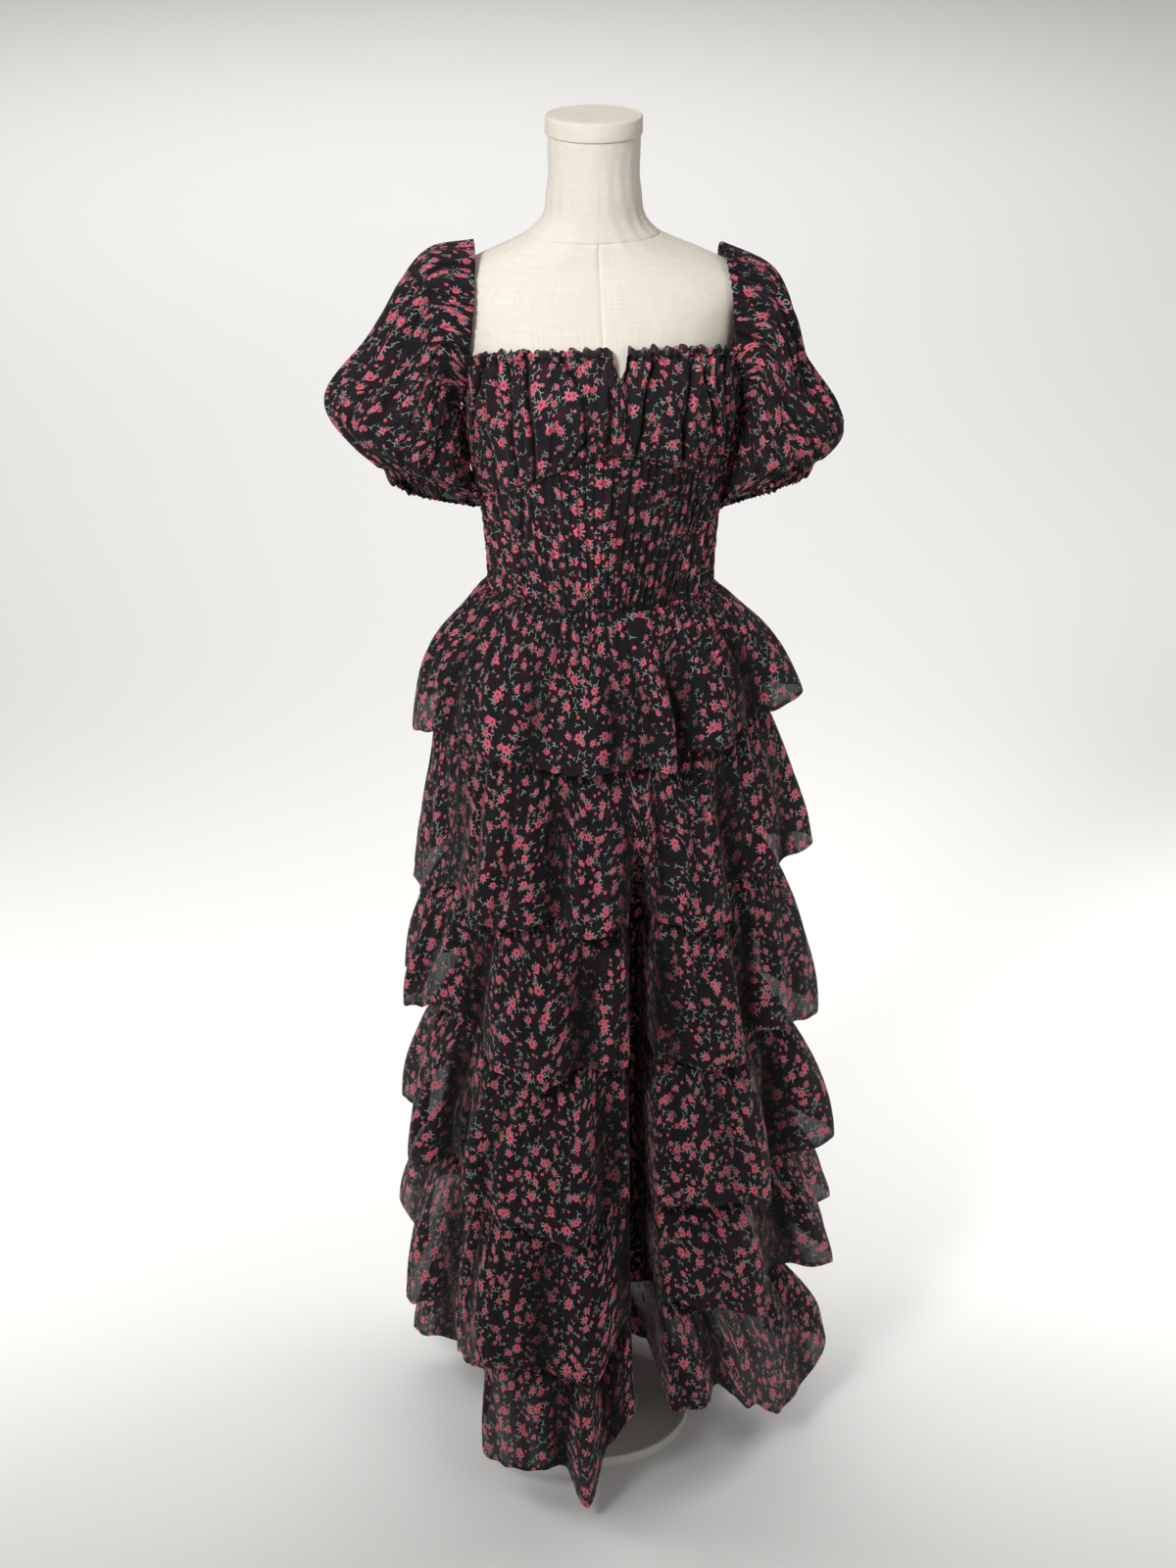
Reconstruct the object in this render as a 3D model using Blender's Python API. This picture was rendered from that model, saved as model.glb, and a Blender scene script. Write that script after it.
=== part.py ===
"""Tiered midi dress in printed chiffon, worn by a limbless linen dress form on a pole and base.

Metres, +Z up. The origin is on the floor under the middle of the form. The front faces -Y.
Every angle is counted in degrees round the upright axis, from the front towards +X.
"""
import bmesh
import bpy
import math
import numpy as np

# Driving sizes of the cloth
CLOTH = 0.0016            # wall of the cloth pieces
SEAM_GAP = 0.0003         # clearance where two pieces meet
FORM_GAP = 0.0009         # clearance between the cloth and the form
DRESS_TURN = 5.5          # how far the dress sits turned on the form

# Driving sizes of the form's stand
POLE_RADIUS = 0.0125
BASE_RADIUS = 0.110
BASE_HEIGHT = 0.014
CAP_RADIUS = 0.0475
CAP_HEIGHT = 0.019
NECK_TOP = 1.490

# Heights of the bodice
WAIST = 1.025
NECK_EDGE = 1.306
NECK_CORNER = 1.287       # where the neck edge meets the sleeve
BACK_EDGE = 1.292
UNDERARM_EDGE = 1.212
NOTCH_DEPTH = 0.030
NOTCH_HALF = 4.5          # half of the notch's width
CORSET_HALF = 44.0        # half of the pintucked front's span
CUP_SIDE = 88.0           # where the cups and side panels meet the back
CORNER_FRONT = 62.0       # where the straight neck edge ends at the sleeve, on the form
CORNER_BACK = 120.0
SIDE_EASE = [(1.020, 0.014), (1.120, 0.014), (1.180, 0.013), (1.300, 0.009)]  # looser right side

# The seam under the cups: angle to either side, height
UNDERBUST = [(0, 1.200), (10, 1.195), (22, 1.184), (40, 1.165), (54, 1.155), (75, 1.143), (90, 1.140)]

# Details of the bodice
TUCKS = 20
TUCK_RISE = 0.0014
SHIRR_ROWS = 8
SHIRR_RISE = 0.0012
CUP_GATHERS = 10
CUP_PUFF = 0.0045
GATHER_RISE = 0.0022

# The form: height, half width, depth to the front, depth to the back
FORM_SECTIONS = [
    (0.790, 0.140, 0.094, 0.106),
    (0.860, 0.147, 0.100, 0.114),
    (0.940, 0.132, 0.093, 0.100),
    (1.012, 0.1045, 0.080, 0.080),
    (1.035, 0.104, 0.081, 0.079),
    (1.090, 0.107, 0.087, 0.083),
    (1.150, 0.115, 0.096, 0.088),
    (1.200, 0.123, 0.106, 0.092),
    (1.240, 0.130, 0.114, 0.095),
    (1.280, 0.139, 0.107, 0.097),
    (1.315, 0.149, 0.090, 0.097),
    (1.345, 0.158, 0.070, 0.088),
    (1.368, 0.120, 0.056, 0.074),
    (1.390, 0.070, 0.050, 0.065),
    (1.402, 0.056, 0.047, 0.060),
    (1.440, 0.0460, 0.045, 0.053),
    (NECK_TOP, 0.0452, 0.045, 0.050),
]
FORM_COLUMNS = 36
ARM_PLANE = (1.225, 0.126, 0.20)     # height, half width there, widening with height
PLATE_MIDDLE = (0.008, 1.288)        # y and height of an arm plate's middle
PLATE_HALF = (0.046, 0.031)          # half of its height and of its depth
PLATE_THICK = 0.004

# The underskirt: height, reach to the left, right, front and back
UNDERSKIRT_SECTIONS = [
    (0.880, 0.157, 0.159, 0.110, 0.126),
    (0.710, 0.150, 0.168, 0.118, 0.140),
    (0.540, 0.145, 0.174, 0.122, 0.150),
    (0.370, 0.138, 0.176, 0.125, 0.155),
    (0.200, 0.121, 0.172, 0.128, 0.155),
    (0.020, 0.121, 0.172, 0.128, 0.155),
]
UNDERSKIRT_TOP = WAIST - 0.001
UNDERSKIRT_HEM = 0.200
UNDERSKIRT_ROWS = (0.0, 0.06, 0.115, 0.175, 0.272, 0.314, 0.351, 0.393, 0.587, 0.794, 1.0)
HIP_EASE = 0.0035         # how much further the skirt stands off the form below the waist

# The deep front fold: height, middle, half width of its floor, run of each side, how far back (y)
FRONT_FOLD = [
    (0.900, 0.035, 0.0110, 0.018, -0.124),
    (0.780, 0.036, 0.0115, 0.018, -0.116),
    (0.740, 0.036, 0.0120, 0.017, -0.086),
    (0.700, 0.036, 0.0120, 0.016, -0.066),
    (0.540, 0.036, 0.0120, 0.014, -0.052),
    (0.370, 0.038, 0.0120, 0.014, -0.043),
    (0.200, 0.044, 0.0160, 0.014, -0.038),
    (0.020, 0.053, 0.0200, 0.014, -0.036),
]
FOLD_STEPS = (1.0, 0.70, 0.35, 0.0)  # places of the columns on each side of the fold, lip to floor
FOLD_TUCK = (0.0026, 0.0126)         # how much a ruffle narrows the fold, at its seam and lower down

# Each ruffle's folds at its hem: angle, reach from the axis, height of the hem
TIER_FOLDS = {
    "tier_1": [
        (-92, 0.190, 0.872), (-66, 0.160, 0.892), (-46, 0.168, 0.886), (-29, 0.148, 0.878),
        (-10, 0.156, 0.878), (7, 0.147, 0.878), (24, 0.164, 0.877), (33, 0.142, 0.884),
        (48, 0.170, 0.890), (63, 0.166, 0.896), (86, 0.220, 0.906), (108, 0.176, 0.893),
        (128, 0.197, 0.885), (148, 0.160, 0.884), (168, 0.178, 0.878), (188, 0.156, 0.880),
        (208, 0.178, 0.876), (228, 0.160, 0.880), (248, 0.190, 0.876),
    ],
    "tier_2": [
        (-92, 0.188, 0.685), (-66, 0.162, 0.716), (-47, 0.180, 0.700), (-31, 0.170, 0.704),
        (-21, 0.142, 0.712), (-9, 0.172, 0.702), (7, 0.164, 0.710), (20, 0.168, 0.712),
        (33, 0.182, 0.697), (45, 0.186, 0.700), (53, 0.160, 0.722), (67, 0.200, 0.731),
        (86, 0.235, 0.736), (105, 0.182, 0.715), (124, 0.220, 0.700), (145, 0.174, 0.708),
        (165, 0.205, 0.695), (185, 0.172, 0.705), (205, 0.208, 0.690), (226, 0.174, 0.700),
        (248, 0.202, 0.685),
    ],
    "tier_3": [
        (-84, 0.207, 0.560), (-68, 0.186, 0.578), (-53, 0.162, 0.567), (-38, 0.192, 0.545),
        (-24, 0.188, 0.527), (-9, 0.156, 0.545), (2, 0.178, 0.552), (14, 0.172, 0.560),
        (24, 0.164, 0.548), (34, 0.192, 0.536), (47, 0.202, 0.532), (57, 0.170, 0.550),
        (71, 0.216, 0.536), (87, 0.247, 0.524), (105, 0.204, 0.540), (123, 0.248, 0.532),
        (143, 0.198, 0.545), (163, 0.240, 0.530), (183, 0.196, 0.545), (203, 0.242, 0.525),
        (223, 0.194, 0.540), (242, 0.226, 0.542), (260, 0.184, 0.560),
    ],
    "tier_4": [
        (-76, 0.214, 0.376), (-60, 0.176, 0.402), (-46, 0.206, 0.378), (-28, 0.206, 0.368),
        (-9, 0.204, 0.354), (0, 0.156, 0.376), (9, 0.168, 0.383), (22, 0.184, 0.380),
        (39, 0.200, 0.370), (55, 0.222, 0.350), (67, 0.196, 0.372), (84, 0.270, 0.374),
        (99, 0.222, 0.384), (114, 0.276, 0.366), (132, 0.214, 0.382), (152, 0.266, 0.364),
        (172, 0.212, 0.380), (192, 0.264, 0.364), (212, 0.214, 0.378), (236, 0.244, 0.368),
        (260, 0.186, 0.388),
    ],
    "tier_5": [
        (-86, 0.213, 0.176), (-67, 0.172, 0.216), (-53, 0.192, 0.214), (-39, 0.216, 0.188),
        (-22, 0.194, 0.186), (-6, 0.208, 0.184), (8, 0.176, 0.250), (19, 0.194, 0.268),
        (35, 0.208, 0.246), (50, 0.228, 0.220), (64, 0.208, 0.245), (84, 0.272, 0.212),
        (99, 0.232, 0.226), (115, 0.322, 0.202), (134, 0.236, 0.220), (154, 0.290, 0.202),
        (172, 0.232, 0.215), (190, 0.282, 0.198), (208, 0.232, 0.212), (227, 0.280, 0.196),
        (250, 0.198, 0.200),
    ],
    "tier_6": [
        (-82, 0.151, 0.096), (-62, 0.140, 0.112), (-46, 0.182, 0.036), (-30, 0.190, 0.044),
        (-15, 0.190, 0.060), (-7, 0.215, 0.024), (0, 0.188, 0.090), (9, 0.198, 0.138),
        (21, 0.202, 0.130), (30, 0.208, 0.124), (39, 0.196, 0.134), (51, 0.212, 0.090),
        (65, 0.226, 0.054), (76, 0.240, 0.058), (88, 0.272, 0.088), (102, 0.212, 0.072),
        (118, 0.276, 0.046), (138, 0.220, 0.060), (158, 0.272, 0.040), (178, 0.220, 0.058),
        (198, 0.266, 0.040), (218, 0.212, 0.056), (238, 0.236, 0.050), (258, 0.158, 0.082),
    ],
}
TIER_TOPS = {"tier_1": WAIST - 0.001, "tier_2": 0.898, "tier_3": 0.722, "tier_4": 0.562,
             "tier_5": 0.392, "tier_6": 0.226}
TIER_COLUMNS = {"tier_1": 60, "tier_2": 66, "tier_3": 68, "tier_4": 70, "tier_5": 72, "tier_6": 76}
TIER_ROWS = {"tier_1": (0.0, 0.10, 0.30, 0.60, 1.0)}
COMMON_ROWS = (0.0, 0.13, 0.46, 1.0)
# How early a ruffle swells below its seam, 1 is evenly
SWELL = {"tier_1": 1.2, "tier_2": 1.1, "tier_3": 1.8, "tier_4": 1.8, "tier_5": 1.8, "tier_6": 1.8}
LAP = 0.012                          # least cover of a ruffle's seam by the hem above it
LAYER_GAP = 0.005                    # least room between a hem and the ruffle under it
SEAM_EASE = 0.0007                   # a ruffle's extra room over the curve of the underskirt

# Sleeve rings: outer point (x, z), inner point (x, z), half depth, rise of the front edge
SLEEVE_RINGS = {
    "sleeve_left": [
        (0.160, 1.378, 0.150, 1.206, 0.068, 0.000),
        (0.189, 1.345, 0.148, 1.184, 0.080, 0.000),
        (0.222, 1.289, 0.144, 1.162, 0.088, 0.005),
        (0.264, 1.232, 0.139, 1.142, 0.090, 0.012),
        (0.240, 1.182, 0.131, 1.126, 0.080, 0.022),
        (0.200, 1.146, 0.122, 1.112, 0.066, 0.030),
    ],
    "sleeve_right": [
        (0.173, 1.354, 0.154, 1.206, 0.068, 0.000),
        (0.194, 1.322, 0.151, 1.184, 0.080, 0.000),
        (0.210, 1.268, 0.147, 1.162, 0.088, 0.005),
        (0.244, 1.214, 0.143, 1.142, 0.090, 0.012),
        (0.250, 1.176, 0.137, 1.124, 0.080, 0.022),
        (0.212, 1.136, 0.131, 1.102, 0.066, 0.030),
    ],
}
SHOULDER_TOP = {"sleeve_left": (0.117, 0.005, 1.382), "sleeve_right": (0.128, 0.005, 1.374)}
SHOULDER_SQUARE = 0.75               # under 1 makes the ring over the shoulder squarer
SHOULDER_EASE = 0.001                # how much further the ring stands off the form there
SLEEVE_COLUMNS = 42
SLEEVE_GATHERS = 14
SLEEVE_MIDDLE_Y = 0.006

COLOURS = {
    "chiffon": ((0.030, 0.022, 0.026, 1.0), 0.75, 0.0),
    "dark_lining": ((0.012, 0.010, 0.012, 1.0), 0.8, 0.0),
    "linen": ((0.68, 0.62, 0.53, 1.0), 0.85, 0.0),
    "painted_steel": ((0.72, 0.70, 0.66, 1.0), 0.4, 0.3),
}


def start_clean():
    for thing in list(bpy.data.objects):
        bpy.data.objects.remove(thing)


def finish_object(name, mesh, colour):
    """Give a mesh its object and its own material."""
    base, roughness, metallic = COLOURS[colour]
    material = bpy.data.materials.new(name + "_" + colour)
    material.use_nodes = True
    shader = material.node_tree.nodes["Principled BSDF"]
    shader.inputs["Base Color"].default_value = base
    shader.inputs["Roughness"].default_value = roughness
    shader.inputs["Metallic"].default_value = metallic
    mesh.materials.append(material)
    mesh.shade_smooth()
    mesh.set_sharp_from_angle(angle=math.radians(50))
    piece = bpy.data.objects.new(name, mesh)
    bpy.context.scene.collection.objects.link(piece)
    return piece


def between_rows(rows, place):
    """A table's values at a place between its rows, in straight steps."""
    places = [row[0] for row in rows]
    if places[0] > places[-1]:
        rows = rows[::-1]
        places = places[::-1]
    values = np.array(rows, dtype=float)
    return [float(np.interp(place, places, values[:, i])) for i in range(1, values.shape[1])]


def smooth_rows(rows, place):
    """A table's values at a place between its rows, on a smooth curve through them."""
    values = np.array(rows, dtype=float)
    place = min(max(place, values[0, 0]), values[-1, 0])
    i = int(np.clip(np.searchsorted(values[:, 0], place) - 1, 0, len(values) - 2))
    t = (place - values[i, 0]) / (values[i + 1, 0] - values[i, 0])
    slopes = np.gradient(values[:, 1:], values[:, 0], axis=0)
    span = values[i + 1, 0] - values[i, 0]
    start, end = values[i, 1:], values[i + 1, 1:]
    h00 = 2 * t ** 3 - 3 * t ** 2 + 1
    h10 = t ** 3 - 2 * t ** 2 + t
    h01 = 3 * t ** 2 - 2 * t ** 3
    h11 = t ** 3 - t ** 2
    return h00 * start + h10 * span * slopes[i] + h01 * end + h11 * span * slopes[i + 1]


def round_rows(rows, angle):
    """Values at an angle in a table that runs once round, easing from fold to fold."""
    start = rows[0][0]
    angle = (angle - start) % 360.0 + start
    closed = rows + [(rows[0][0] + 360.0,) + tuple(rows[0][1:])]
    for low, high in zip(closed, closed[1:]):
        if low[0] <= angle <= high[0]:
            t = (angle - low[0]) / (high[0] - low[0])
            ease = (1 - math.cos(math.pi * t)) / 2
            return [a + (b - a) * ease for a, b in zip(low[1:], high[1:])]
    return list(rows[0][1:])


def oval_point(angle, left, right, front, back, out=0.0):
    """A point on a section with four reaches, moved out along the section's normal."""
    a = math.radians(angle)
    s, c = math.sin(a), math.cos(a)
    wide = right if s >= 0 else left
    deep = front if c >= 0 else back
    x, y = wide * s, -deep * c
    nx, ny = s / wide, -c / deep
    size = math.hypot(nx, ny)
    return x + nx / size * out, y + ny / size * out


def oval_reach(angle, reaches):
    """Distance from the axis to a section with four reaches, in a given direction."""
    left, right, front, back = reaches
    a = math.radians(angle)
    s, c = math.sin(a), math.cos(a)
    wide = right if s >= 0 else left
    deep = front if c >= 0 else back
    return 1 / math.hypot(s / wide, c / deep)


def form_point(height, angle, out=0.0, ease=0.0):
    """A point on the form's section, moved out, and with ease to the right where cloth hangs off."""
    wide, front, back = smooth_rows(FORM_SECTIONS, height)
    x, y = oval_point(angle, wide, wide + ease, front, back, out)
    return x, y, height


def on_dress(height, angle, out):
    """A point of the bodice: the form's surface, with the dress turned on it."""
    return form_point(height, angle + DRESS_TURN, out, between_rows(SIDE_EASE, height)[0])


def skin_normals(grid, closed):
    down = np.gradient(grid, axis=0)
    if closed:
        across = np.roll(grid, -1, axis=1) - np.roll(grid, 1, axis=1)
    else:
        across = np.gradient(grid, axis=1)
    normals = np.cross(down, across)
    return normals / np.linalg.norm(normals, axis=2, keepdims=True)


def cloth_wall(name, outer, inner, closed, colour="chiffon"):
    """A closed wall between an outer and an inner grid of points, row by row downwards."""
    rows, columns = outer.shape[:2]
    points = [tuple(p) for p in outer.reshape(-1, 3)] + [tuple(p) for p in inner.reshape(-1, 3)]
    inside = rows * columns
    faces = []
    spans = columns if closed else columns - 1
    for i in range(rows - 1):
        for j in range(spans):
            k = (j + 1) % columns
            a, b = i * columns + j, (i + 1) * columns + j
            c, d = (i + 1) * columns + k, i * columns + k
            faces.append((a, b, c, d))
            faces.append((inside + a, inside + d, inside + c, inside + b))
    for j in range(spans):
        k = (j + 1) % columns
        last = (rows - 1) * columns
        faces.append((j, k, inside + k, inside + j))
        faces.append((last + k, last + j, inside + last + j, inside + last + k))
    if not closed:
        for i in range(rows - 1):
            a, b = i * columns, (i + 1) * columns
            faces.append((b, a, inside + a, inside + b))
            c, d = a + columns - 1, b + columns - 1
            faces.append((c, d, inside + d, inside + c))
    mesh = bpy.data.meshes.new(name)
    mesh.from_pydata(points, [], faces)
    work = bmesh.new()
    work.from_mesh(mesh)
    bmesh.ops.recalc_face_normals(work, faces=work.faces)
    work.to_mesh(mesh)
    work.free()
    return finish_object(name, mesh, colour)


def neck_edge(angle):
    """Height of the bodice's upper edge: notch, square front, dip under the arm, back."""
    notch = NOTCH_DEPTH * max(0.0, 1 - abs(angle) / NOTCH_HALF)
    side = abs((angle + DRESS_TURN + 180.0) % 360.0 - 180.0)
    rows = [(0, NECK_EDGE), (30, NECK_EDGE - 0.003), (46, NECK_EDGE - 0.009),
            (CORNER_FRONT, NECK_CORNER), (84, UNDERARM_EDGE), (98, UNDERARM_EDGE),
            (CORNER_BACK, BACK_EDGE), (180, BACK_EDGE)]
    return between_rows(rows, side)[0] - notch


def underbust(angle):
    return between_rows(UNDERBUST, abs(angle))[0]


def bodice_panel(name, start, end, columns, rows, foot, head, relief):
    """A panel on the form between two angles, with its outer points raised by relief."""
    outer = np.zeros((rows + 1, columns + 1, 3))
    inner = np.zeros_like(outer)
    for j in range(columns + 1):
        angle = start + (end - start) * j / columns
        top, bottom = head(angle), foot(angle)
        for i in range(rows + 1):
            height = top + (bottom - top) * i / rows
            puff, rise = relief(i / rows, i, j)
            inner[i, j] = on_dress(height, angle, FORM_GAP + puff)
            outer[i, j] = on_dress(height, angle, FORM_GAP + puff + CLOTH + rise)
    return cloth_wall(name, outer, inner, closed=False)


def seam_share(metres):
    """A seam's clearance as an angle on the bodice."""
    return math.degrees(metres / 0.11)


def make_bodice():
    half_gap = seam_share(SEAM_GAP / 2 + 0.0001)

    def cup_relief(down, i, j):
        gathers = GATHER_RISE * (j % 3 == 1) * (0.6 + 0.4 * math.sin(j * 2.1))
        return CUP_PUFF * math.sin(math.pi * down), gathers

    def cup_foot(angle):
        return underbust(angle) + SEAM_GAP

    columns = CUP_GATHERS * 3
    bodice_panel("bust_cup_left", -CUP_SIDE + half_gap, -half_gap, columns, 4,
                 cup_foot, neck_edge, cup_relief)
    bodice_panel("bust_cup_right", half_gap, CUP_SIDE - half_gap, columns, 4,
                 cup_foot, neck_edge, cup_relief)

    def corset_relief(down, i, j):
        return 0.0, TUCK_RISE * (j % 3 == 1)

    def corset_foot(angle):
        return WAIST + SEAM_GAP

    def side_head(angle):
        return underbust(angle) - 2 * SEAM_GAP

    bodice_panel("corset_front", -CORSET_HALF + half_gap, CORSET_HALF - half_gap, TUCKS * 3, 3,
                 corset_foot, underbust, corset_relief)

    def shirred_relief(down, i, j):
        return 0.0, SHIRR_RISE * (i % 2)

    bodice_panel("side_panel_right", CORSET_HALF + half_gap, CUP_SIDE - half_gap, 7, SHIRR_ROWS,
                 corset_foot, side_head, shirred_relief)
    bodice_panel("side_panel_left", -CUP_SIDE + half_gap, -CORSET_HALF - half_gap, 7, SHIRR_ROWS,
                 corset_foot, side_head, shirred_relief)
    bodice_panel("back_panel", CUP_SIDE + half_gap, 360 - CUP_SIDE - half_gap, 26, SHIRR_ROWS + 2,
                 corset_foot, neck_edge, shirred_relief)


def underskirt_reaches(height):
    """Reaches of the underskirt's outer face, from the form at the waist to its own flare."""
    wide, front, back = smooth_rows(FORM_SECTIONS, height)
    loose = min(max((WAIST - height) / 0.04, 0.0), 1.0)
    off = FORM_GAP + CLOTH + HIP_EASE * loose
    ease = between_rows(SIDE_EASE, height)[0]
    on_form = np.array([wide + off, wide + ease + off, front + off, back + off])
    free = np.maximum(np.array(between_rows(UNDERSKIRT_SECTIONS, height)), on_form)
    t = min(max((1.000 - height) / 0.120, 0.0), 1.0)
    t = t * t * (3 - 2 * t)
    return on_form * (1 - t) + free * t


def tier_top(name, angle):
    """Height of a ruffle's seam: level, but always covered by the hem above it."""
    number = int(name[-1])
    if number == 1:
        return TIER_TOPS[name]
    above = round_rows(TIER_FOLDS["tier_%d" % (number - 1)], angle)[1]
    return max(TIER_TOPS[name], above + LAP)


def tier_reach(name, angle, height):
    """How far out a ruffle stands at a height: from its seam it swells to its fold's reach."""
    reach, hem = round_rows(TIER_FOLDS[name], angle)
    top = tier_top(name, angle)
    down = min(max((top - height) / (top - hem), 0.0), 1.0)
    seam = oval_reach(angle, underskirt_reaches(height)) + SEAM_GAP + CLOTH + SEAM_EASE
    out = seam + max(reach - seam, 0.002) * (1 - (1 - down) ** SWELL[name])
    number = int(name[-1])
    if number < len(TIER_FOLDS):
        below = "tier_%d" % (number + 1)
        if height < tier_top(below, angle) + 0.004:
            out = max(out, tier_reach(below, angle, height) + LAYER_GAP)
    return out


def layer_point(name, angle, down):
    """A point of a skirt layer before the deep fold, from its seam (0) down to its hem (1)."""
    if name == "underskirt":
        height = UNDERSKIRT_TOP + (UNDERSKIRT_HEM - UNDERSKIRT_TOP) * down
        out = oval_reach(angle, underskirt_reaches(height))
    else:
        hem = round_rows(TIER_FOLDS[name], angle)[1]
        top = tier_top(name, angle)
        height = top + (hem - top) * down
        out = tier_reach(name, angle, height)
    a = math.radians(angle)
    return out * math.sin(a), -out * math.cos(a), height


def layer_tuck(name, down):
    if name == "underskirt":
        return 0.0
    low, high = FOLD_TUCK
    return low + (high - low) * min(1.0, down / 0.4)


def fold_column(name, down, side, step):
    """The column at one step of the deep fold's side: its angle on the layer and its point."""
    tuck = layer_tuck(name, down)
    low, high = -60.0, 80.0
    for _ in range(30):
        angle = (low + high) / 2
        x, y, height = layer_point(name, angle, down)
        middle, floor, run, back = between_rows(FRONT_FOLD, height)
        wanted = middle + side * (floor - 0.8 * tuck + step * run)
        if x < wanted:
            low = angle
        else:
            high = angle
    share = 1 - step * step * (3 - 2 * step)
    pushed = y + max(back - tuck - y, 0.0) * share
    return angle, (wanted, pushed, height)


def even_shares(points, count):
    """Shares of the way along a line of points that lie evenly along its length."""
    run = np.concatenate([[0], np.cumsum(np.linalg.norm(np.diff(points, axis=0), axis=1))])
    places = np.linspace(0, run[-1], count + 2)[1:-1]
    return np.interp(places, run, np.linspace(0, 1, len(points)))


def layer_ring(name, down, shares):
    """One ring of a skirt layer: across the deep fold, then round the sides and the back."""
    ring = []
    lips = []
    for side, steps in ((-1, FOLD_STEPS), (1, FOLD_STEPS[::-1])):
        for step in steps:
            angle, point = fold_column(name, down, side, step)
            ring.append(point)
            if step == 1.0:
                lips.append(angle)
    for share in shares:
        angle = lips[1] + (lips[0] + 360.0 - lips[1]) * share
        ring.append(layer_point(name, angle, down))
    return ring


def skirt_layer(name, rows, count, colour):
    """A skirt layer's wall: rings of equal columns, spread evenly along its hem."""
    trial = layer_ring(name, 1.0, np.linspace(0, 1, 400))
    shares = even_shares(np.array(trial[2 * len(FOLD_STEPS):]), count - 2 * len(FOLD_STEPS))
    outer = np.array([layer_ring(name, down, shares) for down in rows])
    inner = outer - skin_normals(outer, True) * CLOTH
    inner[0, :, 2] = outer[0, :, 2]
    cloth_wall(name, outer, inner, True, colour)


def make_skirt():
    skirt_layer("underskirt", UNDERSKIRT_ROWS, 36, "dark_lining")
    for name, count in TIER_COLUMNS.items():
        skirt_layer(name, TIER_ROWS.get(name, COMMON_ROWS), count, "chiffon")


def armhole_point(turn, name):
    """The sleeve's upper ring: over the shoulder, then along the bodice under the arm."""
    off = FORM_GAP + CLOTH + GATHER_RISE + SEAM_GAP + CLOTH

    def beside_bodice(height, angle, out):
        ease = between_rows(SIDE_EASE, height)[0] if name == "sleeve_right" else 0.0
        return np.array(form_point(height, angle, out, ease))

    a = math.radians(turn)
    if 90.0 <= turn <= 270.0:
        angle = CORNER_FRONT + (CORNER_BACK - CORNER_FRONT) * (turn - 90.0) / 180.0
        dip = math.sin(math.radians(turn - 90.0))
        return beside_bodice(neck_edge(angle - DRESS_TURN) - 0.008, angle, off + 0.006 * dip)
    front = beside_bodice(NECK_CORNER - 0.008, CORNER_FRONT, off)
    back = beside_bodice(BACK_EDGE - 0.008, CORNER_BACK, off)
    middle = (front + back) / 2
    corner = front if turn < 180 else back
    up = abs(math.cos(a)) ** SHOULDER_SQUARE
    out = abs(math.sin(a)) ** SHOULDER_SQUARE
    x, y, height = middle + (np.array(SHOULDER_TOP[name]) - middle) * up + (corner - middle) * out
    wide, deep_front, deep_back = smooth_rows(FORM_SECTIONS, height)
    deep = deep_front if y < 0 else deep_back
    clear = deep * math.sqrt(max(0.0, 1 - (x / wide) ** 2)) + off + SHOULDER_EASE
    if x < wide:
        y = math.copysign(max(abs(y), clear), y)
    return np.array([x, y, height])


def make_sleeve(name, side):
    """A hollow balloon sleeve, open at the armhole and at its gathered lower edge."""
    rings = SLEEVE_RINGS[name]
    turns = [360.0 * j / SLEEVE_COLUMNS for j in range(SLEEVE_COLUMNS)]
    rows = [[armhole_point(turn, name) for turn in turns]]
    for number, (out_x, out_z, in_x, in_z, deep, lean) in enumerate(rings):
        middle = np.array([(out_x + in_x) / 2, SLEEVE_MIDDLE_Y, (out_z + in_z) / 2])
        outward = np.array([(out_x - in_x) / 2, 0.0, (out_z - in_z) / 2])
        forward = np.array([0.0, -deep, lean])
        row = []
        for turn in turns:
            a = math.radians(turn)
            pucker = 1 + 0.035 * math.cos(SLEEVE_GATHERS * a) * (0.5 + abs(number - 2.5) / 5)
            row.append(middle + (outward * math.cos(a) + forward * math.sin(a)) * pucker)
        rows.append(row)
    outer = np.array(rows)
    outer[:, :, 0] *= side
    if side > 0:
        outer = outer[:, ::-1]
    inner = outer - skin_normals(outer, True) * CLOTH
    cloth_wall(name, outer, inner, True)


def make_form():
    heights = (0.790, 0.825, 0.860, 0.900, 0.940, 0.980, 1.008, 1.022, 1.036, 1.060, 1.100, 1.150,
               1.185, 1.210, 1.235, 1.260, 1.290, 1.320, 1.340, 1.352, 1.370, 1.388, 1.402, 1.420,
               1.450, NECK_TOP)
    columns = FORM_COLUMNS
    plane_height, plane_half, widening = ARM_PLANE
    points = []
    for height in heights:
        limit = 1.0
        if height >= plane_height - 0.03:
            limit = plane_half + (height - plane_height) * widening
        for j in range(columns):
            x, y, z = form_point(height, 360.0 * j / columns)
            points.append((min(max(x, -limit), limit), y, z))
    upper_row = (len(heights) - 1) * columns
    faces = [tuple(range(columns))[::-1], tuple(upper_row + j for j in range(columns))]
    for i in range(len(heights) - 1):
        for j in range(columns):
            k = (j + 1) % columns
            a, b = i * columns, (i + 1) * columns
            faces.append((a + j, a + k, b + k, b + j))
    mesh = bpy.data.meshes.new("form_torso")
    mesh.from_pydata(points, [], faces)
    finish_object("form_torso", mesh, "linen")


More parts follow.
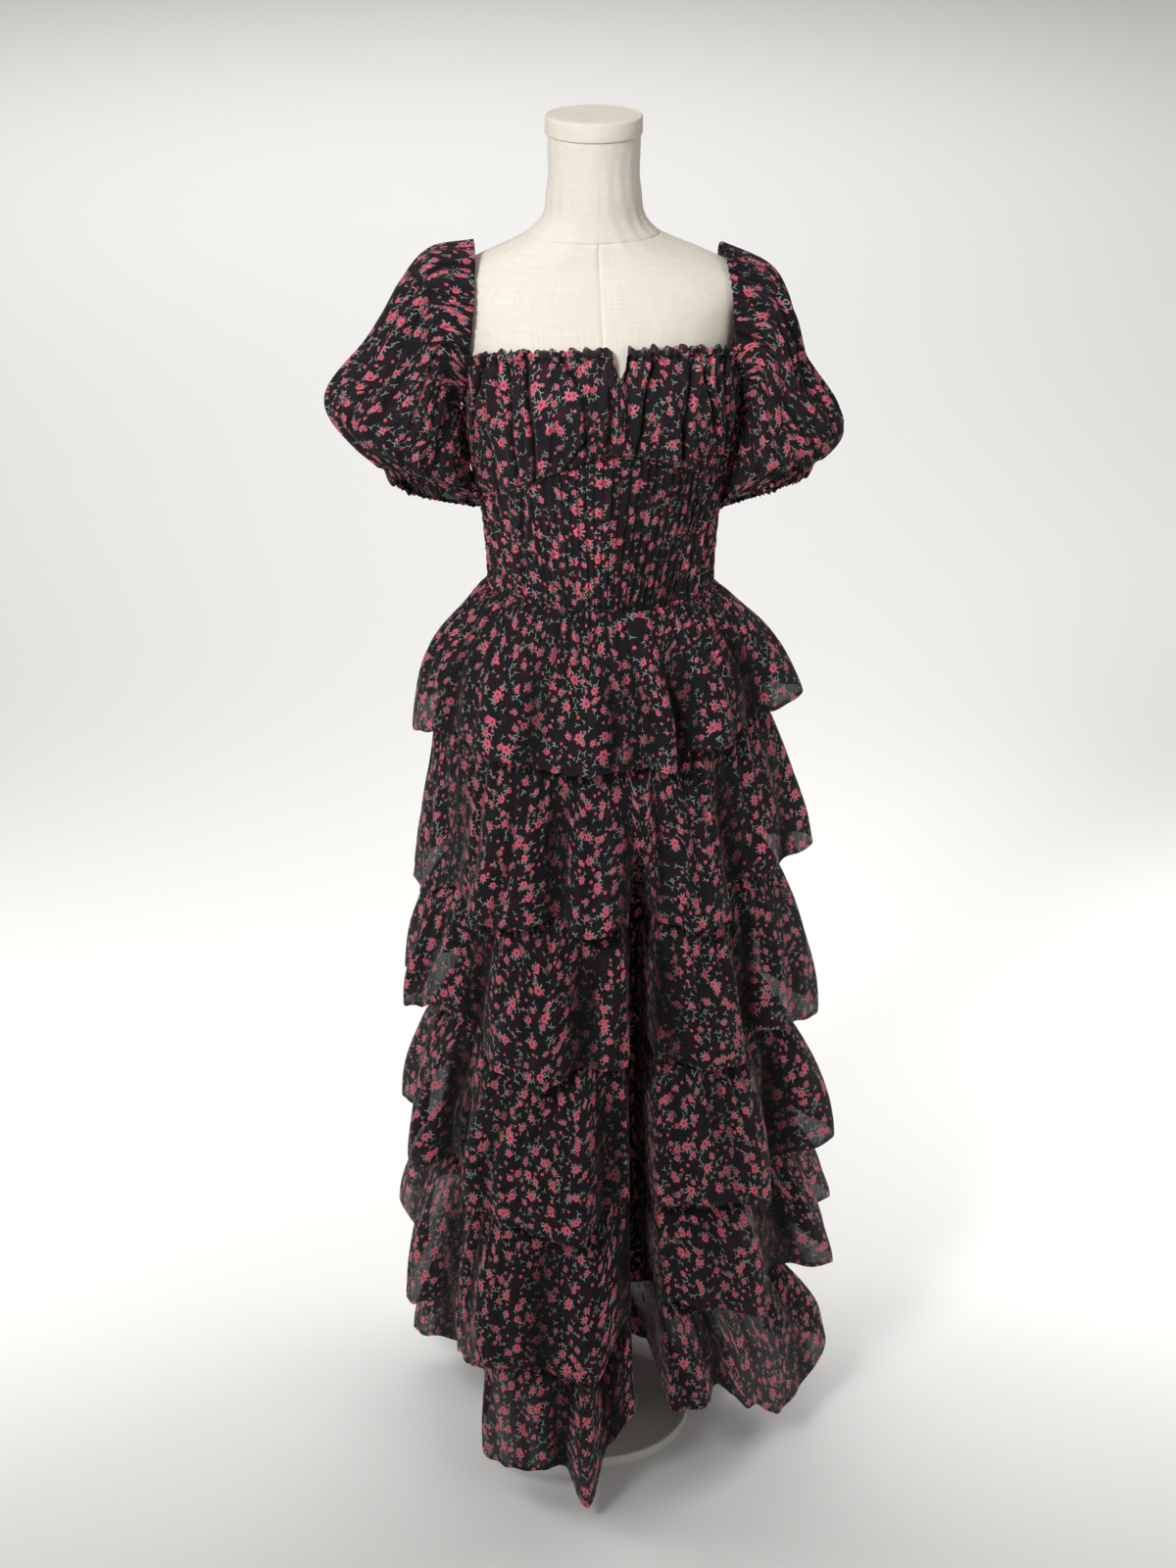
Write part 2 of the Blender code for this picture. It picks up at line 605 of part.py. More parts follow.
def turned_disc(name, radius, low, high, chamfer, colour, sides=48):
    """A round piece with a chamfered upper edge, turned about the upright axis."""
    work = bmesh.new()
    profile = [(0.0, low), (radius, low), (radius, high - chamfer), (radius - chamfer, high), (0.0, high)]
    corners = [work.verts.new((r, 0.0, z)) for r, z in profile]
    edges = [work.edges.new(pair) for pair in zip(corners, corners[1:])]
    bmesh.ops.spin(work, geom=corners + edges, cent=(0, 0, 0), axis=(0, 0, 1),
                   angle=2 * math.pi, steps=sides, use_merge=True)
    bmesh.ops.remove_doubles(work, verts=work.verts, dist=0.00001)
    bmesh.ops.recalc_face_normals(work, faces=work.faces)
    mesh = bpy.data.meshes.new(name)
    work.to_mesh(mesh)
    work.free()
    return finish_object(name, mesh, colour)


def make_arm_plate(name, side):
    """The oval disc that closes the form's arm, lying on its flat side."""
    plane_height, plane_half, widening = ARM_PLANE
    work = bmesh.new()
    bmesh.ops.create_cone(work, cap_ends=True, segments=28, radius1=1.0, radius2=1.0, depth=PLATE_THICK)
    tilt = math.atan(widening)
    middle_y, middle = PLATE_MIDDLE
    half_tall, half_deep = PLATE_HALF
    x = plane_half + (middle - plane_height) * widening
    out = np.array([math.cos(tilt), 0.0, -math.sin(tilt)])
    along = np.array([math.sin(tilt), 0.0, math.cos(tilt)])
    for vert in work.verts:
        spot = np.array([x, middle_y, middle]) + out * (PLATE_THICK / 2 + 2 * SEAM_GAP + vert.co.z)
        spot = spot + along * vert.co.x * half_tall + np.array([0.0, vert.co.y * half_deep, 0.0])
        vert.co = (spot[0] * side, spot[1], spot[2])
    work.normal_update()
    bmesh.ops.recalc_face_normals(work, faces=work.faces)
    mesh = bpy.data.meshes.new(name)
    work.to_mesh(mesh)
    work.free()
    finish_object(name, mesh, "painted_steel")


def main():
    start_clean()
    make_form()
    turned_disc("form_neck_cap", CAP_RADIUS, NECK_TOP + SEAM_GAP, NECK_TOP + SEAM_GAP + CAP_HEIGHT,
                0.002, "linen", 36)
    make_arm_plate("form_arm_plate_left", -1)
    make_arm_plate("form_arm_plate_right", 1)
    turned_disc("form_pole", POLE_RADIUS, BASE_HEIGHT + SEAM_GAP, 0.790 - SEAM_GAP, 0.001,
                "painted_steel", 20)
    turned_disc("form_base", BASE_RADIUS, 0.0, BASE_HEIGHT, 0.002, "painted_steel", 48)
    make_bodice()
    make_skirt()
    make_sleeve("sleeve_left", -1)
    make_sleeve("sleeve_right", 1)


main()
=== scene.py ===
"""Looks of a tiered midi dress in printed chiffon, worn by a limbless linen dress form.

Metres, +Z up, the front faces -Y. Every angle is counted in degrees round the upright axis,
from the front towards +X. The cloth follows the sizes and tables of the frame's solids, and a
comment stands where one of these departs from them. Gathers, tucks and creases are added here,
and seams overlap by a millimetre or two where the solids leave a gap.
"""
import math

import bmesh
import bpy
import numpy as np
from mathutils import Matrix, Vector


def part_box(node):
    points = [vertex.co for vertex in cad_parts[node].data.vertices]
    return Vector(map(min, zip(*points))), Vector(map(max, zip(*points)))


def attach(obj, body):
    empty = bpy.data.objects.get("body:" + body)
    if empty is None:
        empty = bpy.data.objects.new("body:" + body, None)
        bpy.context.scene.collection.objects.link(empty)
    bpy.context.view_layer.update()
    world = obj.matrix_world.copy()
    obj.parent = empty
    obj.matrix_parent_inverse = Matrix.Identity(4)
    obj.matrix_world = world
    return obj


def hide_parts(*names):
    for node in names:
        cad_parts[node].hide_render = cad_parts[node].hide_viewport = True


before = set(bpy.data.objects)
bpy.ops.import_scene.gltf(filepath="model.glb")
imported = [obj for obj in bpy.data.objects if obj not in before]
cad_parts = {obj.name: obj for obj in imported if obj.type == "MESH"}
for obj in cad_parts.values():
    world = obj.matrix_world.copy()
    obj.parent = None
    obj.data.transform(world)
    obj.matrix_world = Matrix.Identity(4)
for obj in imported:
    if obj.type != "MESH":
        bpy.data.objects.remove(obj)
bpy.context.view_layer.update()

bl_info = {
    "name": "Tiered Midi Dress on a Dress Form",
    "version": (1, 0, 0),
    "blender": (4, 5, 0),
    "location": "View3D > Sidebar > Dress",
    "description": "Dresses a linen form in a tiered, printed chiffon dress with puff sleeves",
    "category": "Object",
}

# Driving sizes of the solids, which the cloth follows
CLOTH = 0.0016
SEAM_GAP = 0.0003
FORM_GAP = 0.0009
DRESS_TURN = 5.5
NECK_TOP = 1.490
CAP_RADIUS = 0.0475
CAP_HEIGHT = 0.019
WAIST = 1.025
NECK_EDGE = 1.306
NECK_CORNER = 1.287
BACK_EDGE = 1.292
UNDERARM_EDGE = 1.212
PLATE_MIDDLE = (0.008, 1.288)
PLATE_HALF = (0.046, 0.031)
PLATE_THICK = 0.004
NOTCH_DEPTH = 0.030
CORSET_HALF = 44.0
CUP_SIDE = 88.0
CORNER_FRONT = 62.0
CORNER_BACK = 120.0
SIDE_EASE = [(1.020, 0.014), (1.120, 0.014), (1.180, 0.013), (1.300, 0.009)]
UNDERBUST = [(0, 1.200), (10, 1.195), (22, 1.184), (40, 1.165), (54, 1.155), (75, 1.143), (90, 1.140)]
CUP_PUFF = 0.0045
GATHER_RISE = 0.0022

# Half width of the neck notch in degrees: narrower than the solids' 4.5, with curved sides
NOTCH_HALF = 3.1

# The form: height, half width, depth to the front, depth to the back
FORM_SECTIONS = [
    (0.790, 0.140, 0.094, 0.106), (0.860, 0.147, 0.100, 0.114), (0.940, 0.132, 0.093, 0.100),
    (1.012, 0.1045, 0.080, 0.080), (1.035, 0.104, 0.081, 0.079), (1.090, 0.107, 0.087, 0.083),
    (1.150, 0.115, 0.096, 0.088), (1.200, 0.123, 0.106, 0.092), (1.240, 0.130, 0.114, 0.095),
    (1.280, 0.139, 0.107, 0.097), (1.315, 0.149, 0.090, 0.097), (1.345, 0.158, 0.070, 0.088),
    (1.368, 0.120, 0.056, 0.074), (1.390, 0.070, 0.050, 0.065), (1.402, 0.056, 0.047, 0.060),
    (1.440, 0.0460, 0.045, 0.053), (NECK_TOP, 0.0452, 0.045, 0.050),
]
FORM_FOOT = 0.790
ARM_PLANE = (1.225, 0.126, 0.20)

# The underskirt: height, reach to the left, right, front and back
UNDERSKIRT_SECTIONS = [
    (0.880, 0.157, 0.159, 0.110, 0.126), (0.710, 0.150, 0.168, 0.118, 0.140),
    (0.540, 0.145, 0.174, 0.122, 0.150), (0.370, 0.138, 0.176, 0.125, 0.155),
    (0.200, 0.121, 0.172, 0.128, 0.155), (0.020, 0.121, 0.172, 0.128, 0.155),
]
UNDERSKIRT_TOP = WAIST - 0.001
UNDERSKIRT_HEM = 0.200
HIP_EASE = 0.0035

# The deep front fold: height, middle, half width of its floor, run of each side, how far back
FRONT_FOLD = [
    (0.900, 0.035, 0.0110, 0.018, -0.124), (0.780, 0.036, 0.0115, 0.018, -0.116),
    (0.740, 0.036, 0.0120, 0.017, -0.086), (0.700, 0.036, 0.0120, 0.016, -0.066),
    (0.540, 0.036, 0.0120, 0.014, -0.052), (0.370, 0.038, 0.0120, 0.014, -0.043),
    (0.200, 0.044, 0.0160, 0.014, -0.038), (0.020, 0.053, 0.0200, 0.014, -0.036),
]
FOLD_TUCK = (0.0026, 0.0126)
FOLD_HALVINGS = 26

# Each ruffle's folds at its hem: angle, reach from the axis, height of the hem
TIER_FOLDS = {
    1: [
        (-92, 0.190, 0.872), (-66, 0.160, 0.892), (-46, 0.168, 0.886), (-29, 0.148, 0.878),
        (-10, 0.156, 0.878), (7, 0.147, 0.878), (24, 0.164, 0.877), (33, 0.142, 0.884),
        (48, 0.170, 0.890), (63, 0.166, 0.896), (86, 0.220, 0.906), (108, 0.176, 0.893),
        (128, 0.197, 0.885), (148, 0.160, 0.884), (168, 0.178, 0.878), (188, 0.156, 0.880),
        (208, 0.178, 0.876), (228, 0.160, 0.880), (248, 0.190, 0.876),
    ],
    2: [
        (-92, 0.188, 0.685), (-66, 0.162, 0.716), (-47, 0.180, 0.700), (-31, 0.170, 0.704),
        (-21, 0.142, 0.712), (-9, 0.172, 0.702), (7, 0.164, 0.710), (20, 0.168, 0.712),
        (33, 0.182, 0.697), (45, 0.186, 0.700), (53, 0.160, 0.722), (67, 0.200, 0.731),
        (86, 0.235, 0.736), (105, 0.182, 0.715), (124, 0.220, 0.700), (145, 0.174, 0.708),
        (165, 0.205, 0.695), (185, 0.172, 0.705), (205, 0.208, 0.690), (226, 0.174, 0.700),
        (248, 0.202, 0.685),
    ],
    3: [
        (-84, 0.207, 0.560), (-68, 0.186, 0.578), (-53, 0.162, 0.567), (-38, 0.192, 0.545),
        (-24, 0.188, 0.527), (-9, 0.156, 0.545), (2, 0.178, 0.552), (14, 0.172, 0.560),
        (24, 0.164, 0.548), (34, 0.192, 0.536), (47, 0.202, 0.532), (57, 0.170, 0.550),
        (71, 0.216, 0.536), (87, 0.247, 0.524), (105, 0.204, 0.540), (123, 0.248, 0.532),
        (143, 0.198, 0.545), (163, 0.240, 0.530), (183, 0.196, 0.545), (203, 0.242, 0.525),
        (223, 0.194, 0.540), (242, 0.226, 0.542), (260, 0.184, 0.560),
    ],
    4: [
        (-76, 0.214, 0.376), (-60, 0.176, 0.402), (-46, 0.206, 0.378), (-28, 0.206, 0.368),
        (-9, 0.204, 0.354), (0, 0.156, 0.376), (9, 0.168, 0.383), (22, 0.184, 0.380),
        (39, 0.200, 0.370), (55, 0.222, 0.350), (67, 0.196, 0.372), (84, 0.270, 0.374),
        (99, 0.222, 0.384), (114, 0.276, 0.366), (132, 0.214, 0.382), (152, 0.266, 0.364),
        (172, 0.212, 0.380), (192, 0.264, 0.364), (212, 0.214, 0.378), (236, 0.244, 0.368),
        (260, 0.186, 0.388),
    ],
    5: [
        (-86, 0.213, 0.176), (-67, 0.172, 0.216), (-53, 0.192, 0.214), (-39, 0.216, 0.188),
        (-22, 0.194, 0.186), (-6, 0.208, 0.184), (8, 0.176, 0.250), (19, 0.194, 0.268),
        (35, 0.208, 0.246), (50, 0.228, 0.220), (64, 0.208, 0.245), (84, 0.272, 0.212),
        (99, 0.232, 0.226), (115, 0.322, 0.202), (134, 0.236, 0.220), (154, 0.290, 0.202),
        (172, 0.232, 0.215), (190, 0.282, 0.198), (208, 0.232, 0.212), (227, 0.280, 0.196),
        (250, 0.198, 0.200),
    ],
    6: [
        (-82, 0.151, 0.096), (-62, 0.140, 0.112), (-46, 0.182, 0.036), (-30, 0.190, 0.044),
        (-15, 0.190, 0.060), (-7, 0.215, 0.024), (0, 0.188, 0.090), (9, 0.198, 0.138),
        (21, 0.202, 0.130), (30, 0.208, 0.124), (39, 0.196, 0.134), (51, 0.212, 0.090),
        (65, 0.226, 0.054), (76, 0.240, 0.058), (88, 0.272, 0.088), (102, 0.212, 0.072),
        (118, 0.276, 0.046), (138, 0.220, 0.060), (158, 0.272, 0.040), (178, 0.220, 0.058),
        (198, 0.266, 0.040), (218, 0.212, 0.056), (238, 0.236, 0.050), (258, 0.158, 0.082),
    ],
}
TIER_TOPS = {2: 0.898, 3: 0.722, 4: 0.562, 5: 0.392, 6: 0.226}
SWELL = {1: 1.2, 2: 1.1, 3: 1.8, 4: 1.8, 5: 1.8, 6: 1.8}
LAP = 0.012
SEAM_EASE = 0.0007

# Room between a hem and the ruffle under it: less than the solids' 5 mm
LAYER_GAP = 0.0035

# Sleeve rings: outer point (x, z), inner point (x, z), half depth, rise of the front edge
SLEEVE_RINGS = {
    "left": [
        (0.160, 1.378, 0.150, 1.206, 0.068, 0.000), (0.189, 1.345, 0.148, 1.184, 0.080, 0.000),
        (0.222, 1.289, 0.144, 1.162, 0.088, 0.005), (0.264, 1.232, 0.139, 1.142, 0.090, 0.012),
        (0.240, 1.182, 0.131, 1.126, 0.080, 0.022), (0.200, 1.146, 0.122, 1.112, 0.066, 0.030),
    ],
    "right": [
        (0.173, 1.354, 0.154, 1.206, 0.068, 0.000), (0.194, 1.322, 0.151, 1.184, 0.080, 0.000),
        (0.210, 1.268, 0.147, 1.162, 0.088, 0.005), (0.244, 1.214, 0.143, 1.142, 0.090, 0.012),
        (0.250, 1.176, 0.137, 1.124, 0.080, 0.022), (0.212, 1.136, 0.131, 1.102, 0.066, 0.030),
    ],
}
SHOULDER_TOP = {"left": (0.117, 0.005, 1.382), "right": (0.128, 0.005, 1.374)}
SHOULDER_SQUARE = 0.75
SHOULDER_EASE = 0.001
SLEEVE_MIDDLE_Y = 0.006

# How far a sleeve's inner side is moved towards the bodice, away from the solids
SLEEVE_INWARD = {"left": 0.016, "right": 0.003}
SLEEVE_ELASTIC = 0.945

# The print: pitch and radius in half widths of the largest rose, place and share kept, buds first
ROSE_LAYERS = [
    (2.45, 0.36, (3.7, 9.1), 0.62), (3.9, 0.64, (0.3, 0.8), 0.78), (5.0, 0.92, (5.2, 2.6), 0.80),
]
SPRIG_LAYERS = [(0.0100, (2.0, 1.0)), (0.0126, (7.7, 4.1))]
SPRIGS_KEPT = 0.50
PETALS = 5.0

# The narrow hem: height of its fold, and height and half width of its stitch line
HEM_FOLD = 0.0055
HEM_STITCH = (0.0050, 0.0006)
FULL_TURN = 6.283

# Creases of the bust cups: angle at the upper edge, halfway and at the seam, start, end, depth
CUP_CREASES = [
    (-53, -74, -87, 0.02, 1.0, 1.0), (-44, -46, -48, 0.0, 1.0, 0.8), (-49, -55, -60, 0.0, 0.3, 0.5),
    (-36, -36.5, -38, 0.04, 1.0, 1.2), (-24, -12, -8, 0.02, 0.34, 0.9), (-15, -14, -12, 0.30, 0.92, 1.1),
    (2, -6, -23, 0.66, 0.98, 0.9), (-30, -28, -31, 0.55, 1.0, 0.5), (-66, -68, -70, 0.3, 0.9, 0.4),
    (14, 9.5, 7, 0.08, 0.96, 1.2), (30, 28, 30, 0.10, 0.95, 0.9), (31, 43, 60, 0.12, 0.86, 1.0),
    (20, 25, 31, 0.40, 0.85, 0.6), (46, 53, 64, 0.08, 0.98, 0.8), (-6, -2, 10, 0.74, 0.98, 0.6),
    (-3, -4, -3, 0.30, 1.0, 1.1), (3.5, 2.6, 6.5, 0.08, 0.9, 0.6),
    (18, 17, 20, 0.70, 1.0, 0.5), (62, 68, 74, 0.1, 0.9, 0.7), (38, 36, 40, 0.72, 1.0, 0.6),
]


def linear(code):
    """An sRGB hex colour as linear red, green and blue."""
    parts = [int(code[i:i + 2], 16) / 255 for i in (1, 3, 5)]
    return [p / 12.92 if p <= 0.04045 else ((p + 0.055) / 1.055) ** 2.4 for p in parts]


def opaque(colour):
    return (colour[0], colour[1], colour[2], 1.0)


class ClothSizes(bpy.types.PropertyGroup):
    """Sizes of the dress's cloth."""
    wall: bpy.props.FloatProperty(
        name="Cloth wall", description="Thickness of the chiffon as it is modelled",
        default=0.0007, min=0.0002, max=0.0016, unit="LENGTH")
    gather_depth: bpy.props.FloatProperty(
        name="Gather depth", description="How far the fine gathers stand out at a ruffle's seam",
        default=0.0034, min=0.0, max=0.006, unit="LENGTH")
    fold_depth: bpy.props.FloatProperty(
        name="Fold depth", description="How far the middle folds of a ruffle stand out at its hem",
        default=0.0085, min=0.0, max=0.012, unit="LENGTH")
    tucks: bpy.props.IntProperty(
        name="Pintucks", description="Pintucks across the front of the bodice", default=22, min=4, max=30)
    tuck_rise: bpy.props.FloatProperty(
        name="Tuck rise", description="How far a pintuck stands off the front",
        default=0.0021, min=0.0, max=0.003, unit="LENGTH")
    frill: bpy.props.FloatProperty(
        name="Neck frill", description="Height of the frill above the elastic of the neck edge",
        default=0.010, min=0.0, max=0.02, unit="LENGTH")
    rose: bpy.props.FloatProperty(
        name="Rose size", description="Width of the print's largest roses",
        default=0.0108, min=0.004, max=0.03, unit="LENGTH")


class ClothColours(bpy.types.PropertyGroup):
    """Colours of the dress's cloth."""
    ground: bpy.props.FloatVectorProperty(
        name="Ground", description="Ground of the print", subtype="COLOR", min=0, max=1,
        default=linear("#1C1A20"))
    rose: bpy.props.FloatVectorProperty(
        name="Rose", description="Petals of the roses", subtype="COLOR", min=0, max=1,
        default=linear("#D0405A"))
    rose_dark: bpy.props.FloatVectorProperty(
        name="Rose heart", description="Heart and petal edges of the roses", subtype="COLOR", min=0, max=1,
        default=linear("#97203A"))
    rose_light: bpy.props.FloatVectorProperty(
        name="Rose light", description="Outer petals and buds", subtype="COLOR", min=0, max=1,
        default=linear("#E87A8E"))
    leaf: bpy.props.FloatVectorProperty(
        name="Leaf", description="Sprigs of the print", subtype="COLOR", min=0, max=1,
        default=linear("#9AA39C"))
    lining: bpy.props.FloatVectorProperty(
        name="Lining", description="Underskirt and bodice lining", subtype="COLOR", min=0, max=1,
        default=linear("#171416"))


class FormColours(bpy.types.PropertyGroup):
    """Colours of the dress form and of the floor."""
    linen: bpy.props.FloatVectorProperty(
        name="Linen", description="Cover of the form", subtype="COLOR", min=0, max=1,
        default=linear("#E9E2D6"))
    paint: bpy.props.FloatVectorProperty(
        name="Paint", description="Arm plates, pole and base", subtype="COLOR", min=0, max=1,
        default=linear("#D9D7D3"))
    floor: bpy.props.FloatVectorProperty(
        name="Floor", description="Studio floor", subtype="COLOR", min=0, max=1,
        default=linear("#FBFAF8"))


# Curves and tables

def along(rows, place):
    """A table's values at places between its rows, in straight steps."""
    table = np.array(rows, dtype=float)
    if table[0, 0] > table[-1, 0]:
        table = table[::-1]
    return [np.interp(place, table[:, 0], table[:, i]) for i in range(1, table.shape[1])]


def smooth_along(rows, place):
    """A table's values at places between its rows, on a smooth curve through them."""
    table = np.array(rows, dtype=float)
    place = np.clip(place, table[0, 0], table[-1, 0])
    i = np.clip(np.searchsorted(table[:, 0], place) - 1, 0, len(table) - 2)
    span = table[i + 1, 0] - table[i, 0]
    t = (place - table[i, 0]) / span
    slopes = np.gradient(table[:, 1:], table[:, 0], axis=0)
    values = []
    for column in range(table.shape[1] - 1):
        start, end = table[i, column + 1], table[i + 1, column + 1]
        values.append((2 * t ** 3 - 3 * t ** 2 + 1) * start + (3 * t ** 2 - 2 * t ** 3) * end
                      + (t ** 3 - 2 * t ** 2 + t) * span * slopes[i, column]
                      + (t ** 3 - t ** 2) * span * slopes[i + 1, column])
    return values


def around(rows, angle):
    """Values at angles in a table that runs once round, easing from fold to fold."""
    table = np.array(rows, dtype=float)
    closed = np.vstack([table, table[0] + [360.0, 0.0, 0.0]])
    angle = (angle - table[0, 0]) % 360.0 + table[0, 0]
    i = np.clip(np.searchsorted(closed[:, 0], angle, side="right") - 1, 0, len(table) - 1)
    t = (angle - closed[i, 0]) / (closed[i + 1, 0] - closed[i, 0])
    ease = (1 - np.cos(np.pi * t)) / 2
    return [closed[i, c] + (closed[i + 1, c] - closed[i, c]) * ease for c in (1, 2)]


def soft_step(value, low, high):
    """0 below low, 1 above high, and a smooth rise between."""
    t = np.clip((value - low) / (high - low), 0.0, 1.0)
    return t * t * (3 - 2 * t)


def uneven_waves(turn, count, seed, spread=0.16):
    """Waves that repeat once round and beat against each other, so no two folds are alike."""
    draw = np.random.default_rng(seed)
    total = 0.0
    for k in (-2, -1, 0, 1, 2):
        near = round(count * (1 + spread * k / 2))
        total = total + np.cos(near * turn + draw.uniform(0, 2 * math.pi)) * draw.uniform(0.6, 1.0)
    return np.clip(total / 2.4, -1.0, 1.0)


def soft_noise(x, y, seed):
    """Slow bumps over a flat pair of coordinates, from a few crossed waves, about -1 to 1."""
    draw = np.random.default_rng(seed)
    total = 0.0
    for _ in range(6):
        a, b, c = draw.uniform(-1, 1), draw.uniform(-1, 1), draw.uniform(0, 2 * math.pi)
        total = total + np.sin(x * a * 6.0 + y * b * 6.0 + c)
    return total / 3.0


# Surfaces of the form and the dress

def oval_reach(angle, reaches):
    """Distance from the axis to a section with four reaches, in a given direction."""
    left, right, front, back = reaches
    s, c = np.sin(np.radians(angle)), np.cos(np.radians(angle))
    return 1 / np.hypot(s / np.where(s >= 0, right, left), c / np.where(c >= 0, front, back))


def form_point(height, angle, out=0.0, ease=0.0):
    """Points on the form's sections, moved out, with ease to the right where cloth hangs off."""
    wide, front, back = smooth_along(FORM_SECTIONS, height)
    s, c = np.sin(np.radians(angle)), np.cos(np.radians(angle))
    side = np.where(s >= 0, wide + ease, wide)
    deep = np.where(c >= 0, front, back)
    nx, ny = s / side, -c / deep
    size = np.hypot(nx, ny)
    return np.stack([side * s + nx / size * out, -deep * c + ny / size * out,
                     height + 0 * s], axis=-1)


def on_dress(height, angle, out):
    """Points of the bodice: the form's surface, with the dress turned on it."""
    return form_point(height, angle + DRESS_TURN, out, along(SIDE_EASE, height)[0])


def underskirt_reaches(height):
    """Reaches of the underskirt's outer face, from the form at the waist to its own flare."""
    wide, front, back = smooth_along(FORM_SECTIONS, height)
    off = FORM_GAP + CLOTH + HIP_EASE * np.clip((WAIST - height) / 0.04, 0.0, 1.0)
    ease = along(SIDE_EASE, height)[0]
    on_form = [wide + off, wide + ease + off, front + off, back + off]
    t = soft_step(1.000 - height, 0.0, 0.120)
    own = along(UNDERSKIRT_SECTIONS, height)
    return [a * (1 - t) + np.maximum(a, b) * t for a, b in zip(on_form, own)]


def waist_seam(angle):
    """Height of the waist seam: it climbs to the left, up to 7 mm above the solids' level one."""
    return WAIST + 0.0035 - 0.0035 * np.sin(np.radians(angle))


def tier_hem(number, angle):
    """Height of a ruffle's hem, with the small ripple of its narrow rolled edge."""
    ripple = uneven_waves(np.radians(angle), 46, 70 + number)
    return around(TIER_FOLDS[number], angle)[1] + 0.0016 * ripple


def tier_top(number, angle):
    """Height of a ruffle's seam: level, but always covered by the hem above it.

    The peplum's follows the waist seam, up to 9.5 mm above the solids' level edge."""
    if number == 1:
        return waist_seam(angle) + 0.0015
    return np.maximum(TIER_TOPS[number], around(TIER_FOLDS[number - 1], angle)[1] + LAP)


def ruffle_waves(number, angle, down):
    """A ruffle's gathers, its wider gathers and its middle folds, -1 in a valley to 1 on a ridge."""
    turn = np.radians(angle)
    return (uneven_waves(turn, 92 + 4 * number, 11 + number),
            uneven_waves(turn, 56 + 3 * number, 31 + number),
            uneven_waves(turn + 0.05 * np.sin(5 * down + number), 24 + number, 51 + number))


def ruffle_lift(number, angle, down):
    """How far the gathers at the seam and the middle folds lift a ruffle's cloth."""
    sizes = bpy.context.scene.cloth_sizes
    gathers, wider, folds = ruffle_waves(number, angle, down)
    gathers, wider = 0.5 + 0.5 * gathers, 0.5 + 0.5 * wider
    near_hem = 1 - 0.45 * soft_step(down, 0.8, 1.0)
    return (sizes.gather_depth * gathers * np.exp(-down / 0.20) * soft_step(down, 0.0, 0.03)
            + 0.0040 * wider * soft_step(down, 0.0, 0.12) * (1 - soft_step(down, 0.3, 0.9))
            + sizes.fold_depth * (0.5 * folds - 0.1) * soft_step(down, 0.10, 0.7) * near_hem)


def ruffle_bunching_and_shade(number, angle, down):
    """How bunched a ruffle's cloth is, and its painted shade: strong between the gathers under its seam."""
    gathers, wider, folds = [0.5 - 0.5 * wave for wave in ruffle_waves(number, angle, down)]
    reach, before, after = [around(TIER_FOLDS[number], angle + step)[0] for step in (0.0, -9.0, 9.0)]
    # valley is painted shade in the dips of the hem between its folds
    valley = np.clip(((before + after) / 2 - reach) / 0.010, 0.0, 1.0) * soft_step(down, 0.05, 0.5)
    return np.clip(gathers ** 3 * np.exp(-down / 0.15) + 0.9 * wider ** 4 * np.exp(-down / 0.45)
                   + 0.6 * folds ** 5 * soft_step(down, 0.1, 0.5) + 0.8 * valley, 0.0, 1.0)


def tier_reach(number, angle, height):
    """How far out a ruffle stands: from its seam it swells to its fold's reach."""
    reach = around(TIER_FOLDS[number], angle)[0]
    hem, top = tier_hem(number, angle), tier_top(number, angle)
    down = np.clip((top - height) / (top - hem), 0.0, 1.0)
    seam = oval_reach(angle, underskirt_reaches(height)) + SEAM_GAP + CLOTH + SEAM_EASE
    if number == 1:
        # The peplum's upper edge lies 3.2 mm closer in than the solids'
        seam = seam - 0.0032 * (1 - soft_step(down, 0.0, 0.06))
    out = seam + np.maximum(reach - seam, 0.002) * (1 - (1 - down) ** SWELL[number])
    out = out + ruffle_lift(number, angle, down)
    if number < len(TIER_FOLDS):
        below = tier_reach(number + 1, angle, height) + LAYER_GAP
        covered = height < tier_top(number + 1, angle) + 0.004
        out = np.where(covered, np.maximum(out, below), out)
    return out


def layer_point(number, angle, down):
    """Points of a skirt layer before the deep fold, from its seam (0) to its hem (1)."""
    if number == 0:
        height = UNDERSKIRT_TOP + (UNDERSKIRT_HEM - UNDERSKIRT_TOP) * down
        out = oval_reach(angle, underskirt_reaches(height))
    else:
        top = tier_top(number, angle)
        height = top + (tier_hem(number, angle) - top) * down
        out = tier_reach(number, angle, height)
    return out * np.sin(np.radians(angle)), -out * np.cos(np.radians(angle)), height


def deep_fold(number, downs, places):
    """The columns of the deep fold, and their angles: places -1 to 1 lie on its floor, the
    rest on its sides, out to its lips at -2 and 2."""
    down = downs[:, None] + 0 * places[None, :]
    tuck = 0.0
    if number > 0:
        tuck = FOLD_TUCK[0] + (FOLD_TUCK[1] - FOLD_TUCK[0]) * np.minimum(1.0, down / 0.4)
    step = np.maximum(np.abs(places) - 1, 0.0)
    low, high = np.full(down.shape, -60.0), np.full(down.shape, 80.0)
    for _ in range(FOLD_HALVINGS):
        angle = (low + high) / 2
        x, y, height = layer_point(number, angle, down)
        middle, floor, run, back = along(FRONT_FOLD, height)
        wanted = middle + np.clip(places, -1, 1) * (floor - 0.8 * tuck) + np.sign(places) * step * run
        low, high = np.where(x < wanted, angle, low), np.where(x < wanted, high, angle)
    share = 1 - step * step * (3 - 2 * step)
    pushed = y + np.maximum(back - tuck - y, 0.0) * share
    return np.stack([wanted, pushed, height], axis=-1), angle


